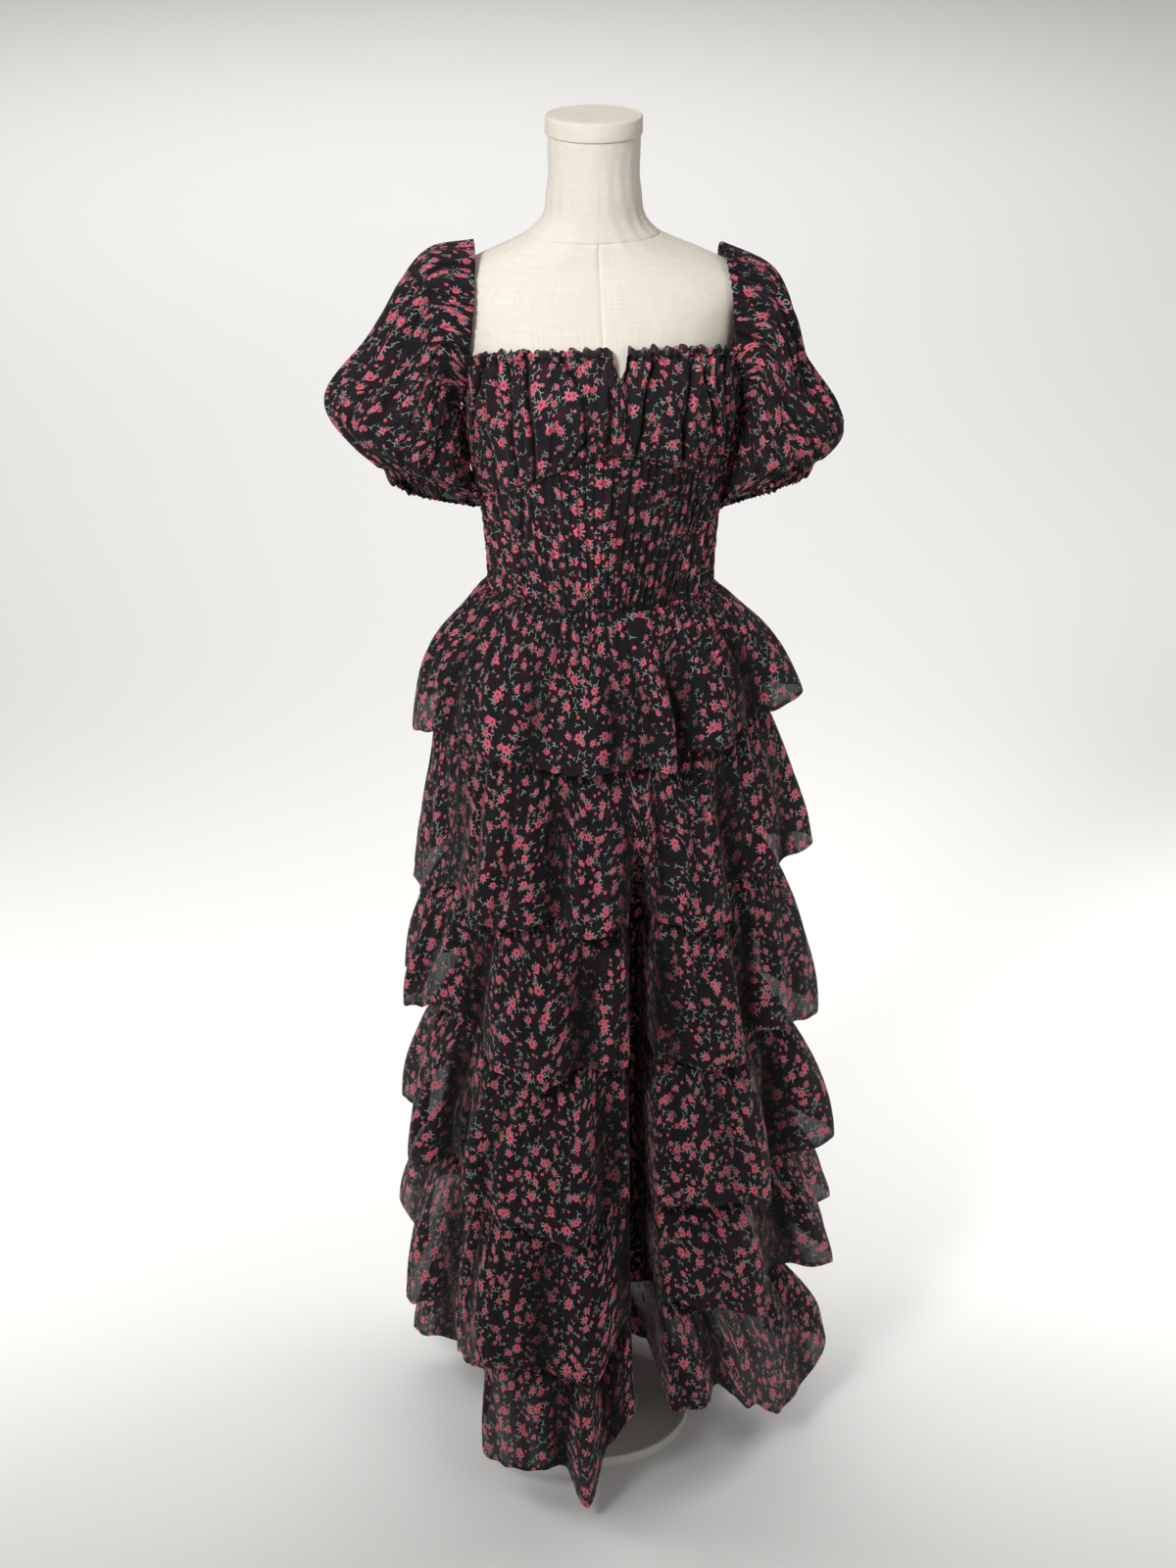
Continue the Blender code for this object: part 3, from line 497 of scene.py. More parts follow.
def skirt_grid(number, downs, columns, fold_columns):
    """A skirt layer's points, across the deep fold and then round the sides and the back, and
    the angle of each."""
    side = np.linspace(1.0, 2.0, fold_columns)
    places = np.concatenate([-side[::-1], [-0.5, 0.0, 0.5], side])
    fold, fold_angle = deep_fold(number, downs, places)
    start, end = fold_angle[:, -1], fold_angle[:, 0] + 360.0
    trial = np.linspace(0, 1, 6 * columns)
    hem_angle = start[-1] + (end[-1] - start[-1]) * trial
    hem = np.stack(layer_point(number, hem_angle, 1.0 + 0 * trial), axis=-1)
    run = np.concatenate([[0], np.cumsum(np.linalg.norm(np.diff(hem, axis=0), axis=1))])
    shares = np.interp(np.linspace(0, run[-1], columns + 2)[1:-1], run, trial)
    angle = start[:, None] + (end - start)[:, None] * shares[None, :]
    main = np.stack(layer_point(number, angle, downs[:, None] + 0 * angle), axis=-1)
    return np.concatenate([fold, main], axis=1), np.concatenate([fold_angle, angle], axis=1)


def neck_edge(angle):
    """Height of the bodice's upper edge: notch, square front, dip under the arm, back."""
    side = np.abs((angle + DRESS_TURN + 180.0) % 360.0 - 180.0)
    rows = [(0, NECK_EDGE), (30, NECK_EDGE - 0.003), (46, NECK_EDGE - 0.009),
            (CORNER_FRONT, NECK_CORNER), (84, UNDERARM_EDGE), (98, UNDERARM_EDGE),
            (CORNER_BACK, BACK_EDGE), (180, BACK_EDGE)]
    notch = NOTCH_DEPTH * np.maximum(0.0, 1 - np.abs(angle) / NOTCH_HALF) ** 0.8
    return along(rows, side)[0] - notch


def underbust(angle):
    return along(UNDERBUST, np.abs(angle))[0]


# Meshes

def sheet_mesh(name, grid, closed, across, drop, place):
    """A sheet from a grid of points, row by row downwards, with two maps in real metres.

    The map "cut" has 0 at the hem, and the map "print" is the same, moved to its own place."""
    rows, columns = grid.shape[:2]
    spans = columns if closed else columns - 1
    i, j = np.meshgrid(np.arange(rows - 1), np.arange(spans), indexing="ij")
    k = (j + 1) % columns
    quads = np.stack([i * columns + j, (i + 1) * columns + j,
                      (i + 1) * columns + k, i * columns + k], axis=-1)
    mesh = bpy.data.meshes.new(name)
    mesh.from_pydata(grid.reshape(-1, 3).tolist(), [], quads.reshape(-1, 4).tolist())
    u = np.stack([across[j], across[j], across[j + 1], across[j + 1]], axis=-1)
    v = np.stack([drop[i, j], drop[i + 1, j], drop[i + 1, k], drop[i, k]], axis=-1)
    flat = np.stack([u, v], axis=-1).reshape(-1, 2)
    mesh.uv_layers.new(name="cut").data.foreach_set("uv", flat.ravel())
    mesh.uv_layers.new(name="print").data.foreach_set("uv", (flat + np.array(place)).ravel())
    mesh.polygons.foreach_set("use_smooth", np.ones(len(mesh.polygons), dtype=bool))
    mesh.update()
    return mesh


def point_values(mesh, name, values):
    """A value at each point of a mesh, for its material to read."""
    attribute = mesh.attributes.new(name, "FLOAT", "POINT")
    attribute.data.foreach_set("value", np.ravel(values).astype(np.float32))


def cloth_piece(name, node, grid, closed, material, place, tuck=0.0, lined=0.0,
                width_row=-1):
    """A cloth piece from its grid: its mesh, its wall, its cut and the node it stands for.

    The cut is measured back from the grid: it is as wide as one row, width_row, and each of its
    columns is as long as the grid's. Its area is the flat cut's. tuck is how closely the cloth is
    bunched at each point, which also sets the painted shade of its creases, folds and seams, and
    lined is 1 where it has a lining behind it."""
    ring = np.concatenate([grid, grid[:, :1]], axis=1) if closed else grid
    widths = np.linalg.norm(np.diff(ring, axis=1), axis=2)
    share = widths.mean(axis=0) / widths.mean(axis=0).sum()
    across = np.concatenate([[0], np.cumsum(share)]) * widths[width_row].sum()
    lengths = np.linalg.norm(np.diff(grid, axis=0), axis=2)
    drop = np.concatenate([np.cumsum(lengths[::-1], axis=0)[::-1], np.zeros((1, grid.shape[1]))])
    mesh = sheet_mesh(name, grid, closed, across, drop, place)
    # The tuck values carry bunching and painted shade in creases, folds and seams for the material
    point_values(mesh, "tuck", tuck + 0 * grid[..., 0])
    point_values(mesh, "lined", lined + 0 * grid[..., 0])
    piece = bpy.data.objects.new(name, mesh)
    bpy.context.scene.collection.objects.link(piece)
    mesh.materials.append(material)
    wall = piece.modifiers.new("wall", "SOLIDIFY")
    wall.thickness = bpy.context.scene.cloth_sizes.wall
    wall.offset = -1.0
    wall.use_even_offset = False
    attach(piece, "root")
    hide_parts(node)
    return piece


def grid_normals(grid, closed):
    down = np.gradient(grid, axis=0)
    if closed:
        across = np.roll(grid, -1, axis=1) - np.roll(grid, 1, axis=1)
    else:
        across = np.gradient(grid, axis=1)
    normals = np.cross(down, across)
    return normals / np.maximum(np.linalg.norm(normals, axis=2, keepdims=True), 1e-9)


# Materials

def add_node(tree, kind, links, **settings):
    """Adds one node: its settings by name, and its inputs by name or number as values or links."""
    node = tree.nodes.new(kind)
    for key, value in settings.items():
        setattr(node, key, value)
    for key, value in links.items():
        if isinstance(value, bpy.types.NodeSocket):
            tree.links.new(value, node.inputs[key])
        else:
            node.inputs[key].default_value = value
    return node


def new_material(name):
    """An empty material with a Principled shader, and its tree and shader."""
    material = bpy.data.materials.new(name)
    material.use_nodes = True
    return material, material.node_tree, material.node_tree.nodes["Principled BSDF"]


def cells(tree, flat, pitch, place, randomness):
    """Scattered spots on a map in metres: the way from the nearest spot, and its chances."""
    scale = 1.0 / pitch
    spread = add_node(tree, "ShaderNodeMapping", {
        "Vector": flat, "Location": (place[0], place[1], 0.0), "Scale": (scale, scale, scale)})
    spots = add_node(tree, "ShaderNodeTexVoronoi", {
        "Vector": spread.outputs[0], "Scale": 1.0, "Randomness": randomness},
        voronoi_dimensions="2D", feature="F1")
    way = add_node(tree, "ShaderNodeVectorMath", {
        0: spread.outputs[0], 1: spots.outputs["Position"]}, operation="SUBTRACT")
    chance = add_node(tree, "ShaderNodeSeparateColor", {"Color": spots.outputs["Color"]})
    turn = add_node(tree, "ShaderNodeMath", {0: chance.outputs[0], 1: FULL_TURN}, operation="MULTIPLY")
    turned = add_node(tree, "ShaderNodeVectorRotate", {
        "Vector": way.outputs[0], "Angle": turn.outputs[0]}, rotation_type="Z_AXIS")
    local = add_node(tree, "ShaderNodeSeparateXYZ", {"Vector": turned.outputs[0]})
    return local, spots.outputs["Distance"], chance


def roses(tree, flat, pitch, radius, place, keep):
    """Roses of one size: where their petals are, how deep in the flower, and their leaf rays."""
    local, reach, chance = cells(tree, flat, pitch, place, 0.72)
    around_heart = add_node(tree, "ShaderNodeMath", {0: local.outputs[1], 1: local.outputs[0]},
                            operation="ARCTAN2").outputs[0]
    size = add_node(tree, "ShaderNodeMapRange", {
        "Value": chance.outputs[1], "To Min": 0.74 * radius / pitch, "To Max": 1.08 * radius / pitch})
    lobes = add_node(tree, "ShaderNodeMath", {0: around_heart, 1: PETALS}, operation="MULTIPLY")
    lobes = add_node(tree, "ShaderNodeMath", {0: lobes.outputs[0]}, operation="SINE")
    lobes = add_node(tree, "ShaderNodeMath", {0: lobes.outputs[0], 1: 0.11, 2: 1.0},
                     operation="MULTIPLY_ADD")
    edge = add_node(tree, "ShaderNodeMath", {0: size.outputs[0], 1: lobes.outputs[0]},
                    operation="MULTIPLY")
    depth = add_node(tree, "ShaderNodeMath", {0: reach, 1: edge.outputs[0]}, operation="DIVIDE")
    depth = depth.outputs[0]
    kept = add_node(tree, "ShaderNodeMath", {0: chance.outputs[2], 1: keep}, operation="LESS_THAN")
    petals = add_node(tree, "ShaderNodeMapRange", {
        "Value": depth, "From Min": 0.90, "From Max": 1.04, "To Min": 1.0, "To Max": 0.0},
        interpolation_type="SMOOTHSTEP")
    coil = add_node(tree, "ShaderNodeMath", {0: around_heart, 1: 1 / FULL_TURN, 2: 0.0},
                    operation="MULTIPLY_ADD")
    coil = add_node(tree, "ShaderNodeMath", {0: depth, 1: 1.9, 2: coil.outputs[0]},
                    operation="MULTIPLY_ADD")
    coil = add_node(tree, "ShaderNodeMath", {0: coil.outputs[0]}, operation="FRACT").outputs[0]
    rays = add_node(tree, "ShaderNodeMath", {0: around_heart, 1: 9.0, 2: 1.0},
                    operation="MULTIPLY_ADD")
    rays = add_node(tree, "ShaderNodeMath", {0: rays.outputs[0]}, operation="SINE")
    leaves = add_node(tree, "ShaderNodeMapRange", {
        "Value": rays.outputs[0], "From Min": 0.25, "From Max": 0.65})
    span = add_node(tree, "ShaderNodeMapRange", {
        "Value": depth, "From Min": 1.45, "From Max": 1.62, "To Min": 1.0, "To Max": 0.0})
    one_side = add_node(tree, "ShaderNodeMath", {0: local.outputs[0], 1: -0.04},
                        operation="GREATER_THAN")
    for limit in (span, one_side, kept):
        leaves = add_node(tree, "ShaderNodeMath", {0: leaves.outputs[0], 1: limit.outputs[0]},
                          operation="MULTIPLY")
    petals = add_node(tree, "ShaderNodeMath", {0: petals.outputs[0], 1: kept.outputs[0]},
                      operation="MULTIPLY")
    return petals.outputs[0], depth, coil, leaves.outputs[0]


def leaflet(tree, where, middle, shape):
    """How far a spot lies from the middle of an oval leaflet."""
    way = add_node(tree, "ShaderNodeVectorMath", {0: where, 1: middle}, operation="SUBTRACT")
    oval = add_node(tree, "ShaderNodeVectorMath", {0: way.outputs[0], 1: shape}, operation="MULTIPLY")
    return add_node(tree, "ShaderNodeVectorMath", {0: oval.outputs[0]}, operation="LENGTH").outputs[1]


def sprigs(tree, flat, pitch, place, keep):
    """Small sprigs with a pair of leaflets each, and one more in line with the stem."""
    local, _, chance = cells(tree, flat, pitch, place, 0.9)
    mirrored = add_node(tree, "ShaderNodeMath", {0: local.outputs[1]}, operation="ABSOLUTE")
    folded = add_node(tree, "ShaderNodeCombineXYZ", {"X": local.outputs[0], "Y": mirrored.outputs[0]})
    leaning = add_node(tree, "ShaderNodeMapping", {
        "Vector": folded.outputs[0], "Rotation": (0.0, 0.0, -0.75), "Scale": (1.0, 1.0, 1.0)})
    pair = leaflet(tree, leaning.outputs[0], (0.13, 0.0, 0.0), (6.2, 25.0, 0.0))
    tip = leaflet(tree, folded.outputs[0], (-0.16, 0.0, 0.0), (5.6, 25.0, 0.0))
    near = add_node(tree, "ShaderNodeMath", {0: pair, 1: tip}, operation="MINIMUM")
    leaf = add_node(tree, "ShaderNodeMapRange", {
        "Value": near.outputs[0], "From Min": 0.75, "From Max": 1.15, "To Min": 1.0, "To Max": 0.0})
    kept = add_node(tree, "ShaderNodeMath", {0: chance.outputs[2], 1: keep}, operation="LESS_THAN")
    leaf = add_node(tree, "ShaderNodeMath", {0: leaf.outputs[0], 1: kept.outputs[0]},
                    operation="MULTIPLY")
    return leaf.outputs[0]


def rose_print(tree, flat, colours, sizes):
    """The ditsy print: ground, sprigs, buds and two sizes of rose. Returns colour and cover."""
    big = sizes.rose / 2
    layers = [roses(tree, flat, big * pitch, big * radius, place, keep)
              for pitch, radius, place, keep in ROSE_LAYERS]
    greens = [sprigs(tree, flat, pitch, place, SPRIGS_KEPT) for pitch, place in SPRIG_LAYERS]
    greens += [layer[3] for layer in layers[1:]]
    green = greens[0]
    for more in greens[1:]:
        green = add_node(tree, "ShaderNodeMath", {0: green, 1: more}, operation="MAXIMUM").outputs[0]
    ghost = add_node(tree, "ShaderNodeTexNoise", {"Vector": flat, "Scale": 62.0, "Detail": 1.0},
                     noise_dimensions="2D")
    ghost = add_node(tree, "ShaderNodeMapRange", {
        "Value": ghost.outputs[0], "From Min": 0.52, "From Max": 0.72, "To Max": 0.06})
    colour = add_node(tree, "ShaderNodeMix", {
        "Factor": ghost.outputs[0], "A": opaque(colours.ground), "B": opaque(colours.rose_dark)},
        data_type="RGBA")
    colour = add_node(tree, "ShaderNodeMix", {
        "Factor": green, "A": colour.outputs["Result"], "B": opaque(colours.leaf)}, data_type="RGBA")
    cover = green
    for petals, depth, coil, _ in layers:
        tone = add_node(tree, "ShaderNodeValToRGB", {"Fac": depth})
        ramp = tone.color_ramp
        ramp.elements[0].position = 0.12
        ramp.elements[0].color = opaque(colours.rose_dark)
        ramp.elements[1].position = 1.0
        ramp.elements[1].color = opaque(colours.rose)
        middle = ramp.elements.new(0.60)
        middle.color = opaque(colours.rose_light)
        edge = add_node(tree, "ShaderNodeMapRange", {
            "Value": coil, "From Min": 0.0, "From Max": 0.30, "To Min": 0.60, "To Max": 0.0})
        shaded = add_node(tree, "ShaderNodeMix", {
            "Factor": edge.outputs[0], "A": tone.outputs[0], "B": opaque(colours.rose_dark)},
            data_type="RGBA")
        colour = add_node(tree, "ShaderNodeMix", {
            "Factor": petals, "A": colour.outputs["Result"], "B": shaded.outputs["Result"]},
            data_type="RGBA")
        cover = add_node(tree, "ShaderNodeMath", {0: cover, 1: petals}, operation="MAXIMUM").outputs[0]
    return colour.outputs["Result"], cover


def printed_chiffon():
    """Crinkled polyester chiffon, printed: matte, a little sheen, see-through where it is single.

    The crinkle runs with the warp, in creases 1 to 3 mm wide, and the colour is lightened and
    darkened with it as painted highlight and shade. Where the cloth is bunched it is denser, and its
    colour is darkened there as painted shade in creases, folds and seams; where it is lined nothing
    shows through."""
    scene = bpy.context.scene
    material, tree, shader = new_material("printed_chiffon")
    flat = add_node(tree, "ShaderNodeUVMap", {}, uv_map="print").outputs[0]
    cut = add_node(tree, "ShaderNodeUVMap", {}, uv_map="cut").outputs[0]
    tuck = add_node(tree, "ShaderNodeAttribute", {}, attribute_name="tuck").outputs["Fac"]
    lined = add_node(tree, "ShaderNodeAttribute", {}, attribute_name="lined").outputs["Fac"]
    colour, cover = rose_print(tree, flat, scene.cloth_colours, scene.cloth_sizes)
    crinkle = add_node(tree, "ShaderNodeMapping", {"Vector": cut, "Scale": (520.0, 60.0, 1.0)})
    crinkle = add_node(tree, "ShaderNodeTexNoise", {
        "Vector": crinkle.outputs[0], "Scale": 1.0, "Detail": 3.0, "Roughness": 0.6},
        noise_dimensions="2D")
    # Painted highlight and shade: the colour is lightened and darkened with the crinkle's bumps
    shade = add_node(tree, "ShaderNodeMapRange", {
        "Value": crinkle.outputs[0], "From Min": 0.25, "From Max": 0.75, "To Min": 0.74, "To Max": 1.26})
    # Painted shade: the colour is darkened where tuck marks bunched cloth, creases, folds and seams
    crease_shade = add_node(tree, "ShaderNodeMath", {0: tuck, 1: -0.92, 2: 1.0}, operation="MULTIPLY_ADD")
    shade = add_node(tree, "ShaderNodeMath", {0: shade.outputs[0], 1: crease_shade.outputs[0]},
                     operation="MULTIPLY")
    height = add_node(tree, "ShaderNodeSeparateXYZ", {"Vector": cut}).outputs[1]
    folded = add_node(tree, "ShaderNodeMath", {0: height, 1: HEM_FOLD}, operation="LESS_THAN")
    stitch = add_node(tree, "ShaderNodeMath", {0: height, 1: HEM_STITCH[0], 2: HEM_STITCH[1]},
                      operation="COMPARE")
    band = add_node(tree, "ShaderNodeMath", {0: stitch.outputs[0], 1: -0.4, 2: 1.0},
                    operation="MULTIPLY_ADD")
    for darker in (shade, band):
        colour = add_node(tree, "ShaderNodeVectorMath", {0: colour, "Scale": darker.outputs[0]},
                          operation="SCALE").outputs[0]
    cover = add_node(tree, "ShaderNodeMath", {0: cover, 1: folded.outputs[0]}, operation="MAXIMUM")
    tree.links.new(colour, shader.inputs["Base Color"])
    shader.inputs["Roughness"].default_value = 0.8
    shader.inputs["Specular IOR Level"].default_value = 0.2
    shader.inputs["Sheen Weight"].default_value = 0.06
    shader.inputs["Sheen Roughness"].default_value = 0.45
    weave = add_node(tree, "ShaderNodeMapRange", {
        "Value": cover.outputs[0], "To Min": 0.74, "To Max": 0.88})
    thread = add_node(tree, "ShaderNodeMapRange", {
        "Value": crinkle.outputs[0], "From Min": 0.3, "From Max": 0.7, "To Min": 0.07, "To Max": -0.07})
    weave = add_node(tree, "ShaderNodeMath", {0: weave.outputs[0], 1: thread.outputs[0]}, operation="ADD")
    weave = add_node(tree, "ShaderNodeMath", {0: tuck, 1: 0.35, 2: weave.outputs[0]},
                     operation="MULTIPLY_ADD")
    weave = add_node(tree, "ShaderNodeMath", {0: weave.outputs[0], 1: lined},
                     operation="ADD", use_clamp=True)
    tree.links.new(weave.outputs[0], shader.inputs["Alpha"])
    bump = add_node(tree, "ShaderNodeBump", {
        "Height": crinkle.outputs[0], "Strength": 0.6, "Distance": 0.0012})
    tree.links.new(bump.outputs[0], shader.inputs["Normal"])
    return material


def lining_cloth():
    """Black polyester lining, plain woven: matte with a faint sheen along its soft creases."""
    material, tree, shader = new_material("black_lining")
    cut = add_node(tree, "ShaderNodeUVMap", {}, uv_map="cut").outputs[0]
    creases = add_node(tree, "ShaderNodeMapping", {"Vector": cut, "Scale": (90.0, 12.0, 1.0)})
    creases = add_node(tree, "ShaderNodeTexNoise", {
        "Vector": creases.outputs[0], "Scale": 1.0, "Detail": 3.0}, noise_dimensions="2D")
    # Painted highlight and shade: the colour is lightened and darkened along the soft creases
    tone = add_node(tree, "ShaderNodeMapRange", {"Value": creases.outputs[0], "To Min": 0.7, "To Max": 1.4})
    colour = add_node(tree, "ShaderNodeVectorMath", {
        0: tuple(bpy.context.scene.cloth_colours.lining), "Scale": tone.outputs[0]}, operation="SCALE")
    tree.links.new(colour.outputs[0], shader.inputs["Base Color"])
    shader.inputs["Roughness"].default_value = 0.6
    shader.inputs["Sheen Weight"].default_value = 0.1
    bump = add_node(tree, "ShaderNodeBump", {
        "Height": creases.outputs[0], "Strength": 0.5, "Distance": 0.002})
    tree.links.new(bump.outputs[0], shader.inputs["Normal"])
    return material


def linen_cover():
    """Off-white linen, plain woven: uneven threads 0.7 mm apart, drawn 1.1 mm apart to show."""
    material, tree, shader = new_material("linen_cover")
    flat = add_node(tree, "ShaderNodeUVMap", {}, uv_map="weave").outputs[0]
    threads = []
    for scale in ((5700.0, 160.0, 1.0), (160.0, 5700.0, 1.0)):
        spread = add_node(tree, "ShaderNodeMapping", {"Vector": flat, "Scale": scale})
        strand = add_node(tree, "ShaderNodeTexNoise", {
            "Vector": spread.outputs[0], "Scale": 0.16, "Detail": 2.0}, noise_dimensions="2D")
        threads.append(strand.outputs[0])
    weave = add_node(tree, "ShaderNodeMath", {0: threads[0], 1: threads[1]}, operation="ADD")
    tone = add_node(tree, "ShaderNodeMapRange", {
        "Value": weave.outputs[0], "From Min": 0.7, "From Max": 1.3, "To Min": 0.93, "To Max": 1.04})
    soft = add_node(tree, "ShaderNodeTexNoise", {"Vector": flat, "Scale": 9.0, "Detail": 2.0},
                    noise_dimensions="2D")
    cloud = add_node(tree, "ShaderNodeMapRange", {
        "Value": soft.outputs[0], "To Min": 0.955, "To Max": 1.03})
    scale = add_node(tree, "ShaderNodeMath", {0: tone.outputs[0], 1: cloud.outputs[0]},
                     operation="MULTIPLY")
    colour = add_node(tree, "ShaderNodeVectorMath", {
        0: tuple(bpy.context.scene.form_colours.linen), "Scale": scale.outputs[0]}, operation="SCALE")
    tree.links.new(colour.outputs[0], shader.inputs["Base Color"])
    shader.inputs["Roughness"].default_value = 0.85
    shader.inputs["Specular IOR Level"].default_value = 0.25
    shader.inputs["Sheen Weight"].default_value = 0.12
    bump = add_node(tree, "ShaderNodeBump", {
        "Height": weave.outputs[0], "Strength": 0.35, "Distance": 0.0005})
    tree.links.new(bump.outputs[0], shader.inputs["Normal"])
    return material


def satin_paint():
    """Powder-coated steel: an even satin skin with a fine orange-peel grain of 1.5 mm."""
    material, tree, shader = new_material("powder_coated_steel")
    place = add_node(tree, "ShaderNodeTexCoord", {}).outputs["Object"]
    grain = add_node(tree, "ShaderNodeTexNoise", {"Vector": place, "Scale": 650.0, "Detail": 2.0})
    tone = add_node(tree, "ShaderNodeMapRange", {"Value": grain.outputs[0], "To Min": 0.96, "To Max": 1.03})
    colour = add_node(tree, "ShaderNodeVectorMath", {
        0: tuple(bpy.context.scene.form_colours.paint), "Scale": tone.outputs[0]}, operation="SCALE")
    tree.links.new(colour.outputs[0], shader.inputs["Base Color"])
    shader.inputs["Roughness"].default_value = 0.38
    bump = add_node(tree, "ShaderNodeBump", {
        "Height": grain.outputs[0], "Strength": 0.12, "Distance": 0.0004})
    tree.links.new(bump.outputs[0], shader.inputs["Normal"])
    return material


def studio_floor():
    """Seamless paper: matte and nearly white."""
    material, _, shader = new_material("seamless_paper")
    shader.inputs["Base Color"].default_value = opaque(bpy.context.scene.form_colours.floor)
    shader.inputs["Roughness"].default_value = 0.9
    return material


def shared(name, maker):
    """One material of each name, made when it is first asked for."""
    return bpy.data.materials.get(name) or maker()


def chiffon():
    return shared("printed_chiffon", printed_chiffon)


# Pieces

class DRESS_OT_form_body(bpy.types.Operator):
    """Build the padded body of the form under its linen, with its sewn seams"""
    bl_idname = "dress.form_body"
    bl_label = "Form body"

    def execute(self, context):
        seams = [0.0, 90.0, 180.0, 270.0]
        near = np.array([-2.4, -1.2, -0.6, -0.25, 0.0, 0.25, 0.6, 1.2, 2.4])
        angles = np.concatenate([np.arange(0.0, 360.0, 2.5)] + [(s + near) % 360.0 for s in seams])
        angles = np.unique(np.round(angles, 3))
        neck_seam, groove_width, groove_depth = 1.393, 0.0009, 0.0011
        heights = np.concatenate([np.linspace(FORM_FOOT, NECK_TOP, 130),
                                  neck_seam + np.array([-0.002, -0.001, -0.0004, 0.0004, 0.001, 0.002])])
        heights = np.unique(np.round(heights, 5))[::-1]
        angle, height = np.meshgrid(angles, heights)
        grid = form_point(height, angle)
        radius = np.hypot(grid[..., 0], grid[..., 1])
        groove = np.zeros_like(radius)
        for seam, low in ((0.0, FORM_FOOT), (90.0, 1.33), (180.0, FORM_FOOT), (270.0, 1.33)):
            away = np.radians((angle - seam + 180.0) % 360.0 - 180.0) * radius
            line = np.exp(-(away / groove_width) ** 2) * (height > low) * (height < neck_seam)
            groove = np.maximum(groove, line)
        groove = np.maximum(groove, np.exp(-((height - neck_seam) / groove_width) ** 2))
        plump = 0.0004 * soft_noise(angle / 14.0, height * 22.0, 3)
        grid = form_point(height, angle, plump - groove_depth * groove)
        plane_height, plane_half, widening = ARM_PLANE
        limit = plane_half + (height - plane_height) * widening
        limit = np.where(height >= plane_height - 0.03, limit, 1.0)
        grid[..., 0] = np.clip(grid[..., 0], -limit, limit)
        rows, columns = grid.shape[:2]
        across = np.append(np.radians(angles), 2 * math.pi) * 0.12
        drop = np.repeat(heights[:, None], columns, axis=1)
        mesh = sheet_mesh("linen_body", grid, True, across, drop, (0.0, 0.0))
        mesh.uv_layers["cut"].name = "weave"
        work = bmesh.new()
        work.from_mesh(mesh)
        work.verts.ensure_lookup_table()
        work.faces.new([work.verts[j] for j in range(columns)])
        work.faces.new([work.verts[(rows - 1) * columns + j] for j in range(columns)][::-1])
        work.to_mesh(mesh)
        work.free()
        mesh.set_sharp_from_angle(angle=math.radians(40))
        mesh.materials.append(shared("linen_cover", linen_cover))
        piece = bpy.data.objects.new("linen_body", mesh)
        context.scene.collection.objects.link(piece)
        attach(piece, "root")
        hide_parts("form_torso")
        return {"FINISHED"}


def finish_hard_piece(piece, node, material, *more_nodes):
    """Sets a modelled piece's place into its mesh, smooths it and gives it its finish."""
    bpy.ops.object.select_all(action="DESELECT")
    piece.select_set(True)
    bpy.context.view_layer.objects.active = piece
    bpy.ops.object.transform_apply(location=True, rotation=True, scale=True)
    bpy.ops.object.shade_smooth_by_angle(angle=math.radians(35))
    piece.data.materials.clear()
    piece.data.materials.append(material)
    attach(piece, "root")
    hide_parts(node, *more_nodes)


def select_faces(piece, wanted):
    """Selects the faces that a test picks, in edit mode."""
    work = bmesh.from_edit_mesh(piece.data)
    for face in work.faces:
        face.select_set(False)
    for face in work.faces:
        if wanted(face):
            face.select_set(True)
    bmesh.update_edit_mesh(piece.data)


def select_edges(piece, wanted):
    """Selects the edges that a test picks, in edit mode."""
    work = bmesh.from_edit_mesh(piece.data)
    for face in work.faces:
        face.select_set(False)
    for edge in work.edges:
        edge.select_set(wanted(edge))
    bmesh.update_edit_mesh(piece.data)


def turned_piece(name, radius, low, high, sides=96):
    """A plain upright cylinder to shape, at its size and place, in edit mode."""
    bpy.ops.object.select_all(action="DESELECT")
    bpy.ops.mesh.primitive_cylinder_add(vertices=sides, radius=radius, depth=high - low,
                                        location=(0.0, 0.0, (low + high) / 2))
    piece = bpy.context.active_object
    piece.name = piece.data.name = name
    bpy.ops.object.transform_apply(location=True, rotation=True, scale=True)
    bpy.ops.object.mode_set(mode="EDIT")
    bpy.ops.mesh.select_mode(type="FACE")
    return piece


def rim_edge(edge, heights, radius):
    """Whether an edge lies on a rim of a given radius, at one of the given heights."""
    return any(all(abs(v.co.z - height) < 1e-5 and abs(math.hypot(v.co.x, v.co.y) - radius) < 1e-5
                   for v in edge.verts) for height in heights)


class DRESS_OT_neck_cap(bpy.types.Operator):
    """Build the linen-covered cap on the form's neck, with its piped rim"""
    bl_idname = "dress.neck_cap"
    bl_label = "Neck cap"

    def execute(self, context):
        low, high = NECK_TOP + SEAM_GAP, NECK_TOP + SEAM_GAP + CAP_HEIGHT
        piece = turned_piece("neck_cap", CAP_RADIUS, low, high)
        select_faces(piece, lambda face: face.normal.z > 0.9)
        bpy.ops.mesh.inset(thickness=0.0045, depth=0.0)
        bpy.ops.mesh.inset(thickness=0.0012, depth=-0.0008)
        bpy.ops.mesh.inset(thickness=0.0012, depth=0.0009)
        bpy.ops.mesh.inset(thickness=0.02, depth=0.0002)
        bpy.ops.mesh.select_mode(type="EDGE")
        select_edges(piece, lambda edge: rim_edge(edge, (low, high), CAP_RADIUS))
        bpy.ops.mesh.bevel(offset=0.0024, segments=4, affect="EDGES")
        bpy.ops.object.mode_set(mode="OBJECT")
        flat = piece.data.uv_layers.active
        flat.name = "weave"
        for loop, spot in zip(piece.data.loops, flat.data):
            point = piece.data.vertices[loop.vertex_index].co
            spot.uv = (point.x + 0.3 * point.z, point.y + point.z)
        finish_hard_piece(piece, "form_neck_cap", shared("linen_cover", linen_cover))
        return {"FINISHED"}


